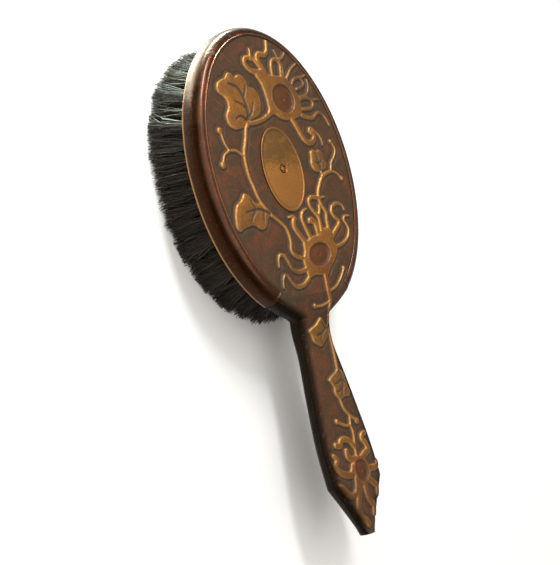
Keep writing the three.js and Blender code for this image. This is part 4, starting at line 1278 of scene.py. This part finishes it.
def lathe(profile, sides, name):
    """Closed turned solid from (radius, height) points that start and end on the axis."""
    bm = bmesh.new()
    verts = [bm.verts.new((radius, 0, height)) for radius, height in profile]
    edges = [bm.edges.new(pair) for pair in zip(verts, verts[1:])]
    bmesh.ops.spin(bm, geom=verts + edges, cent=(0, 0, 0), axis=(0, 0, 1), angle=2 * math.pi, steps=sides,
                   use_merge=True)
    bmesh.ops.remove_doubles(bm, verts=bm.verts, dist=1e-5)
    bmesh.ops.recalc_face_normals(bm, faces=bm.faces)
    return new_piece(name, bm)


def make_medallion(colours):
    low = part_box("medallion")[0].z - BACK
    base = low / MM
    profile = [(0, base), (0.985, base), (1.0, base + 0.08), (1.0, 0.42), (0.992, 0.62), (0.978, 0.74),
               (0.962, 0.78), (0.946, 0.74), (0.932, 0.62), (0.916, 0.54), (0.90, 0.53)]
    profile += [(0.90 - 0.045 * k, 0.53 + 0.30 * math.sin(math.pi / 2 * k / 16)) for k in range(1, 16)]
    profile += [(0.2, 0.84), (0.178, 0.84), (0.160, 0.56), (0.0, 0.56)]
    piece = lathe(profile, 160, "medallion_turned")
    raw = coordinates(piece.data)
    reach = np.hypot(raw[:, 0], raw[:, 1])
    paint(piece.data, "rubbed", bump_at(reach, 0.965, 0.02) * (raw[:, 2] > 0.4))
    paint(piece.data, "grime", np.clip(smooth_step(0.182, 0.155, reach) + 0.8 * (raw[:, 2] < 0.35)
                                       + 0.35 * bump_at(reach, 0.915, 0.02), 0, 1))
    x = raw[:, 0] * MEDALLION["a"] + MEDALLION["x"]
    y = raw[:, 1] * MEDALLION["b"] + MEDALLION["y"]
    round_part = smooth_step(0.24, 0.19, reach)
    y = y * (1 - round_part) + (raw[:, 1] * MEDALLION["a"] + MEDALLION["y"]) * round_part
    set_coordinates(piece.data, in_place(np.stack([x, y, raw[:, 2]], 1)))
    settle(piece, turned_bronze(colours), "bright_bronze", "medallion")


def make_medallion_rivet(colours):
    end = (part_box("medallion_rivet")[0].z - BACK) / MM
    profile = [(0, end), (0.9, end), (0.9, 0.58), (1.72, 0.58), (1.78, 0.66), (1.78, 0.86), (1.66, 0.98),
               (1.48, 1.0), (1.34, 0.92), (1.24, 0.70), (1.12, 0.66), (1.0, 0.74), (0.8, 0.84), (0.4, 0.88),
               (0, 0.885)]
    piece = lathe(profile, 48, "medallion_rivet_head")
    raw = coordinates(piece.data)
    radius = np.hypot(raw[:, 0], raw[:, 1])
    dirt = np.clip(bump_at(radius, 1.16, 0.22) + (radius > 1.70), 0, 1)
    paint(piece.data, "grime", dirt * (raw[:, 2] > 0))
    raw[:, 0] += MEDALLION["x"]
    raw[:, 1] += MEDALLION["y"]
    set_coordinates(piece.data, in_place(raw))
    material = plain_metal("Rivet brass", colours.medallion, colours.ground, 0.38, 0.5, colours.recess)
    settle(piece, material, "brass", "medallion_rivet")


# ---- Bristles ----

TUFT_ROOT = 1.5         # a tuft's radius where it leaves the board
TUFT_FAN = 3.7          # a pattern tuft's radius at its tips
TUFT_OVERLAP = 1.25     # tufts reach this many times as far as the line halfway to their neighbours
LONG_SHARE = 0.85       # share of a tuft's bristles that reach nearly to its end
# Clumps that push the tips about: waves per millimetre, share of the height used, reach, seed.
COARSE_CLUMPS = (0.16, 0.35, 0.8, 1)
FINE_CLUMPS = (0.55, 0.5, 0.5, 2)
REACH_STEPS = 72


def tuft_pattern(sizes, seed):
    """One tuft of thin tapering bristles, rooted at the origin and pointing down, in millimetres."""
    draw = random.Random(seed)
    length = TIP_DEPTH - ROOT_DEPTH
    thick = sizes.bristle_diameter / MM / 2
    single = bmesh.new()
    bmesh.ops.create_cone(single, cap_ends=True, segments=3, radius1=thick * 0.45, radius2=thick,
                          depth=length)
    bmesh.ops.translate(single, verts=single.verts, vec=(0, 0, -length / 2))
    uprights = [e for e in single.edges if abs(e.verts[0].co.z - e.verts[1].co.z) > 0.5 * length]
    bmesh.ops.subdivide_edges(single, edges=uprights, cuts=3)
    strand = bpy.data.meshes.new("strand")
    single.to_mesh(strand)
    single.free()
    shape = coordinates(strand)
    along = -shape[:, 2] / length
    tuft = bmesh.new()
    tint_layer = tuft.verts.layers.float.new("strand_tint")
    reach_layer = tuft.verts.layers.float.new("strand_reach")
    for _ in range(sizes.bristles_per_tuft):
        angle, spread = draw.uniform(0, 2 * math.pi), math.sqrt(draw.random())
        root_x, root_y = TUFT_ROOT * spread * math.cos(angle), TUFT_ROOT * spread * math.sin(angle)
        fan = TUFT_FAN * spread * draw.uniform(0.90, 1.07)
        aim_x = fan * math.cos(angle) + draw.gauss(0, 0.25)
        aim_y = fan * math.sin(angle) + draw.gauss(0, 0.25)
        bend_x, bend_y = draw.gauss(0, 0.55), draw.gauss(0, 0.55)
        phase, sway = draw.uniform(0, 6.28), draw.uniform(0.05, 0.30)
        cut = draw.uniform(0.94, 1.0) if draw.random() < LONG_SHARE else draw.uniform(0.75, 0.94)
        spin = draw.uniform(0, 2 * math.pi)
        c, d = math.cos(spin), math.sin(spin)
        lean = np.sin(math.pi * along)
        out = along ** 1.25
        x = c * shape[:, 0] - d * shape[:, 1] + root_x + (aim_x - root_x) * out + bend_x * lean
        y = d * shape[:, 0] + c * shape[:, 1] + root_y + (aim_y - root_y) * out + bend_y * lean
        x = x + sway * np.sin(along * 9 + phase) * along
        y = y + sway * np.cos(along * 8 + phase) * along
        moved = strand.copy()
        set_coordinates(moved, np.stack([x, y, shape[:, 2] * cut], 1))
        before = len(tuft.verts)
        tuft.from_mesh(moved)
        bpy.data.meshes.remove(moved)
        tuft.verts.ensure_lookup_table()
        tint = draw.random() ** 2
        for k in range(before, len(tuft.verts)):
            tuft.verts[k][tint_layer] = tint
            tuft.verts[k][reach_layer] = along[k - before]
    made = bpy.data.meshes.new(f"tuft_{seed}")
    tuft.to_mesh(made)
    tuft.free()
    bpy.data.meshes.remove(strand)
    return made


def clump_push(points, clumps):
    """Smooth random sideways push for each point, in millimetres."""
    scale, flattening, reach, seed = clumps
    noise.seed_set(seed)    # without it the noise differs from run to run
    push = np.empty((len(points), 2))
    shift = Vector((seed * 7.3, seed * 3.1, seed * 5.7))
    for i, point in enumerate(points * np.array([1, 1, flattening])):
        push[i] = noise.noise_vector(Vector(point) * scale + shift)[:2]
    return reach * push


def tuft_places(row):
    x = (row - (ROWS - 1) / 2) * ROW_PITCH
    half = ROOT_B * math.sqrt(1 - (x / ROOT_A) ** 2)
    spaces = int((2 * (half - 2)) // TUFT_PITCH)
    return [(x, (k - spaces / 2) * TUFT_PITCH) for k in range(spaces + 1)]


def tuft_reach(place, places, angle):
    """How far a tuft's tips spread in each direction: towards its neighbours, or to the field's edge."""
    way = np.stack([np.cos(angle), np.sin(angle)])
    gaps = places - place
    square = (gaps ** 2).sum(1)
    gaps, square = gaps[square > 0.01], square[square > 0.01]
    toward = np.maximum(gaps @ way, 1e-3)
    halfway = (TUFT_OVERLAP / 2 * square[:, None] / toward).min(0)
    axes = np.array([ROOT_A, ROOT_B])
    here, way = place / axes, way / axes[:, None]
    steep, across, inside = (way ** 2).sum(0), here @ way, here @ here - 1
    edge = (np.sqrt(across ** 2 - steep * inside) - across) / steep
    return np.minimum(halfway, edge)


def make_bristle_row(row, tufts, material):
    draw = random.Random(1000 + row)
    places = np.array([place for each in range(ROWS) for place in tuft_places(each)])
    length = TIP_DEPTH - ROOT_DEPTH
    angles = np.linspace(-math.pi, math.pi, REACH_STEPS + 1)
    bm = bmesh.new()
    for place in tuft_places(row):
        tuft = tufts[draw.randrange(len(tufts))].copy()
        tuft.transform(Matrix.Rotation(draw.uniform(0, 2 * math.pi), 4, "Z"))
        shape = coordinates(tuft)
        reach = tuft_reach(np.array(place), places, angles)
        fan = np.interp(np.arctan2(shape[:, 1], shape[:, 0]), angles, reach) / TUFT_FAN
        fan = 1 + (fan - 1) * np.clip(-shape[:, 2] / length, 0, 1)
        shape[:, 0] = shape[:, 0] * fan + place[0]
        shape[:, 1] = shape[:, 1] * fan + place[1]
        shape[:, 2] -= ROOT_DEPTH
        set_coordinates(tuft, shape)
        bm.from_mesh(tuft)
        bpy.data.meshes.remove(tuft)
    piece = new_piece(f"bristle_row_{row + 1}_hair", bm)
    raw = coordinates(piece.data)
    lean = np.clip((-raw[:, 2] - ROOT_DEPTH) / length, 0, 1) ** 1.1
    widen_x = 1 + (TIP_A / ROOT_A - 1) * lean
    widen_y = 1 + (TIP_B / ROOT_B - 1) * lean
    coarse = clump_push(raw, COARSE_CLUMPS)
    push = coarse + clump_push(raw, FINE_CLUMPS)
    raw[:, 0] = raw[:, 0] * widen_x + push[:, 0] * lean
    raw[:, 1] = raw[:, 1] * widen_y + (TIP_LEAN + push[:, 1]) * lean
    raw[:, 2] = np.maximum(raw[:, 2] + coarse[:, 0] * lean, -TIP_DEPTH)
    set_coordinates(piece.data, in_place(raw))
    settle(piece, material, "bristle", f"bristle_row_{row + 1}")


# ---- Lip pins and carried-over pieces ----


def make_lip_pins(colours):
    material = plain_metal("Pin brass", colours.brass, colours.ground, 0.34, 0.5)
    index = 1
    while f"lip_pin_{index}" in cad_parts:
        node = f"lip_pin_{index}"
        low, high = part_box(node)
        middle = ((low + high) / 2 - CENTRE) / MM
        seat, head = -(RIM_DEPTH + 0.02), (low.z - BACK) / MM
        top = (high.z - BACK) / MM
        profile = [(0, head), (0.35, head + 0.02), (0.7, head + 0.09), (0.95, head + 0.2),
                   (1.08, seat - 0.04), (1.08, seat), (0.45, seat), (0.45, top - 0.5), (0, top)]
        piece = lathe(profile, 24, f"{node}_head")
        raw = coordinates(piece.data)
        raw[:, 0] += middle.x
        raw[:, 1] += middle.y
        set_coordinates(piece.data, in_place(raw))
        settle(piece, material, "brass", node)
        index += 1


def finish_node(node, material):
    """A carried-over frame piece keeps its shape and gets a finished material."""
    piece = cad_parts[node]
    piece.data.materials.clear()
    piece.data.materials.append(material)


# ---- Operators ----


def settings(context):
    return context.scene.brush_sizes, context.scene.brush_colours


class BRUSH_OT_back_plate(bpy.types.Operator):
    """Model the stamped back plate with its embossed pattern"""
    bl_idname = "hairbrush.back_plate"
    bl_label = "Back Plate"

    def execute(self, context):
        make_back_plate(*settings(context))
        return {"FINISHED"}


class BRUSH_OT_rim_band(bpy.types.Operator):
    """Model the polished rim band with its bead and turned-in lip"""
    bl_idname = "hairbrush.rim_band"
    bl_label = "Rim Band"

    def execute(self, context):
        make_rim_band(*settings(context))
        return {"FINISHED"}


class BRUSH_OT_handle_shell(bpy.types.Operator):
    """Model the dark lower shell of the handle and neck"""
    bl_idname = "hairbrush.handle_shell"
    bl_label = "Handle Shell"

    def execute(self, context):
        make_handle_shell(settings(context)[1])
        return {"FINISHED"}


class BRUSH_OT_medallion(bpy.types.Operator):
    """Model the turned oval medallion and its rivet"""
    bl_idname = "hairbrush.medallion"
    bl_label = "Medallion"

    def execute(self, context):
        colours = settings(context)[1]
        make_medallion(colours)
        make_medallion_rivet(colours)
        return {"FINISHED"}


class BRUSH_OT_bristles(bpy.types.Operator):
    """Fill every row of the board with tufts of bristle"""
    bl_idname = "hairbrush.bristles"
    bl_label = "Bristles"

    def execute(self, context):
        sizes, colours = settings(context)
        tufts = [tuft_pattern(sizes, seed) for seed in range(sizes.tuft_patterns)]
        material = natural_bristle(colours)
        for row in range(ROWS):
            make_bristle_row(row, tufts, material)
        for tuft in tufts:
            bpy.data.meshes.remove(tuft)
        return {"FINISHED"}


class BRUSH_OT_lip_pins(bpy.types.Operator):
    """Model the small pins that hold the board in the rim's lip"""
    bl_idname = "hairbrush.lip_pins"
    bl_label = "Lip Pins"

    def execute(self, context):
        make_lip_pins(settings(context)[1])
        return {"FINISHED"}


class BRUSH_OT_inner_pieces(bpy.types.Operator):
    """Finish the board and the pieces hidden inside the head and handle"""
    bl_idname = "hairbrush.inner_pieces"
    bl_label = "Inner Pieces"

    def execute(self, context):
        colours = settings(context)[1]
        steel = plain_metal("Tang steel", (0.42, 0.42, 0.44, 1), (0.16, 0.13, 0.11, 1), 0.38, 0.2)
        filling = powdery("Resin filling", (0.27, 0.21, 0.14, 1), (0.15, 0.11, 0.07, 1), 0.12, 0.12 * MM)
        card = powdery("Liner card", (0.36, 0.30, 0.21, 1), (0.25, 0.20, 0.13, 1), 0.3, 0.05 * MM)
        finish_node("brush_board", stained_board(colours))
        finish_node("board_liner", card)
        finish_node("lacing_wire", plain_metal("Wire brass", colours.brass, colours.ground, 0.3, 0.4))
        for node in ("head_filler", "handle_filler"):
            finish_node(node, filling)
        for node in ("handle_tang", "rivet_washer"):
            finish_node(node, steel)
        return {"FINISHED"}


class BRUSH_OT_stage(bpy.types.Operator):
    """Set the pale floor, the studio lights and the camera"""
    bl_idname = "hairbrush.stage"
    bl_label = "Stage"

    def execute(self, context):
        make_stage(context, settings(context)[1])
        return {"FINISHED"}


# ---- Stage ----

WORLD_COLOUR, WORLD_STRENGTH = (1.0, 0.96, 0.90, 1.0), 0.45
FLOOR_HALF_SIZE = 6.0
# The camera's place from the head's centre in millimetres, and its right and forward ways.
CAMERA_PLACE = Vector((-369.6, -92.9, 355.3))
CAMERA_RIGHT = Vector((0.7055, -0.2433, 0.6657))
CAMERA_AHEAD = Vector((0.6993, 0.086, -0.7096))
LENS, SENSOR_WIDTH = 75.1, 36.0


def place_lamp(light, place, power, colour):
    """Gives a light its strength and puts its lamp at a place from the head's centre, in metres."""
    light.energy = power
    light.color = colour
    lamp = bpy.data.objects.new(light.name, light)
    lamp.location = CENTRE + Vector(place)
    bpy.context.scene.collection.objects.link(lamp)
    return lamp


def area_light(name, place, aim, size, power, colour):
    """Rectangular light turned towards the aim."""
    light = bpy.data.lights.new(name, "AREA")
    light.shape = "RECTANGLE"
    light.size, light.size_y = size
    lamp = place_lamp(light, place, power, colour)
    lamp.rotation_mode = "QUATERNION"
    lamp.rotation_quaternion = (CENTRE + Vector(aim) - lamp.location).to_track_quat("-Z", "Y")


def spot_light(name, place, radius, power, colour):
    """Spot light that points straight down and fills a round patch of floor of the given radius."""
    light = bpy.data.lights.new(name, "SPOT")
    light.spot_size = 2 * math.atan2(radius, CENTRE.z + place[2])
    light.spot_blend = 0.5
    light.shadow_soft_size = 0.01
    place_lamp(light, place, power, colour)


def make_stage(context, colours):
    bm = bmesh.new()
    bmesh.ops.create_grid(bm, x_segments=8, y_segments=8, size=FLOOR_HALF_SIZE)
    floor = new_piece("pale_floor", bm)
    floor.data.materials.append(studio_floor(colours))

    world = bpy.data.worlds.new("Studio")
    world.use_nodes = True
    sky = world.node_tree.nodes["Background"]
    sky.inputs["Color"].default_value = WORLD_COLOUR
    sky.inputs["Strength"].default_value = WORLD_STRENGTH
    context.scene.world = world
    context.scene.view_settings.view_transform = "Standard"

    area_light("Tall window beyond the head", place=(-0.02, 0.62, 0.64), aim=(0, 0, 0),
               size=(0.10, 0.42), power=5.5, colour=(0.97, 0.99, 1.0))
    area_light("Soft light over the back", place=(-0.25, 0.2, 0.95), aim=(0, 0, 0),
               size=(1.5, 1.5), power=11.0, colour=(1.0, 0.98, 0.95))
    spot_light("Bright patch of floor beside the head", place=(-0.048, 0.102, 0.6),
               radius=0.045, power=300.0, colour=(0.82, 1.0, 0.90))
    area_light("Low glow beyond the head", place=(0.03, 0.40, -0.012), aim=(-0.03, 0.03, -0.02),
               size=(0.2, 0.02), power=5.0, colour=(0.76, 1.0, 0.88))

    lens = bpy.data.cameras.new("Camera")
    camera = bpy.data.objects.new("Camera", lens)
    context.scene.collection.objects.link(camera)
    right = CAMERA_RIGHT.normalized()
    ahead = (CAMERA_AHEAD - right * CAMERA_AHEAD.dot(right)).normalized()
    turn = Matrix((right, right.cross(ahead), -ahead)).transposed()
    camera.matrix_world = Matrix.Translation(CENTRE + CAMERA_PLACE * MM) @ turn.to_4x4()
    lens.lens = LENS
    lens.sensor_width = SENSOR_WIDTH
    lens.clip_start, lens.clip_end = 0.01, 20.0
    context.scene.camera = camera


# ---- Panel and registration ----

STEPS = (BRUSH_OT_stage, BRUSH_OT_back_plate, BRUSH_OT_rim_band, BRUSH_OT_handle_shell, BRUSH_OT_medallion,
         BRUSH_OT_bristles, BRUSH_OT_lip_pins, BRUSH_OT_inner_pieces)


class BRUSH_PT_panel(bpy.types.Panel):
    """Lists the pieces of the brush"""
    bl_idname = "BRUSH_PT_panel"
    bl_label = "Hairbrush"
    bl_space_type = "VIEW_3D"
    bl_region_type = "UI"
    bl_category = "Hairbrush"

    def draw(self, context):
        for step in STEPS:
            self.layout.operator(step.bl_idname)
        for group in settings(context):
            box = self.layout.box()
            for name in group.__annotations__:
                box.prop(group, name)


CLASSES = (BrushSizes, BrushColours, *STEPS, BRUSH_PT_panel)


def register():
    for each in CLASSES:
        bpy.utils.register_class(each)
    bpy.types.Scene.brush_sizes = PointerProperty(type=BrushSizes)
    bpy.types.Scene.brush_colours = PointerProperty(type=BrushColours)


def unregister():
    del bpy.types.Scene.brush_colours
    del bpy.types.Scene.brush_sizes
    for each in reversed(CLASSES):
        bpy.utils.unregister_class(each)


def main():
    register()
    for step in STEPS:
        group, name = step.bl_idname.split(".")
        getattr(getattr(bpy.ops, group), name)()


if __name__ == "__main__":
    main()
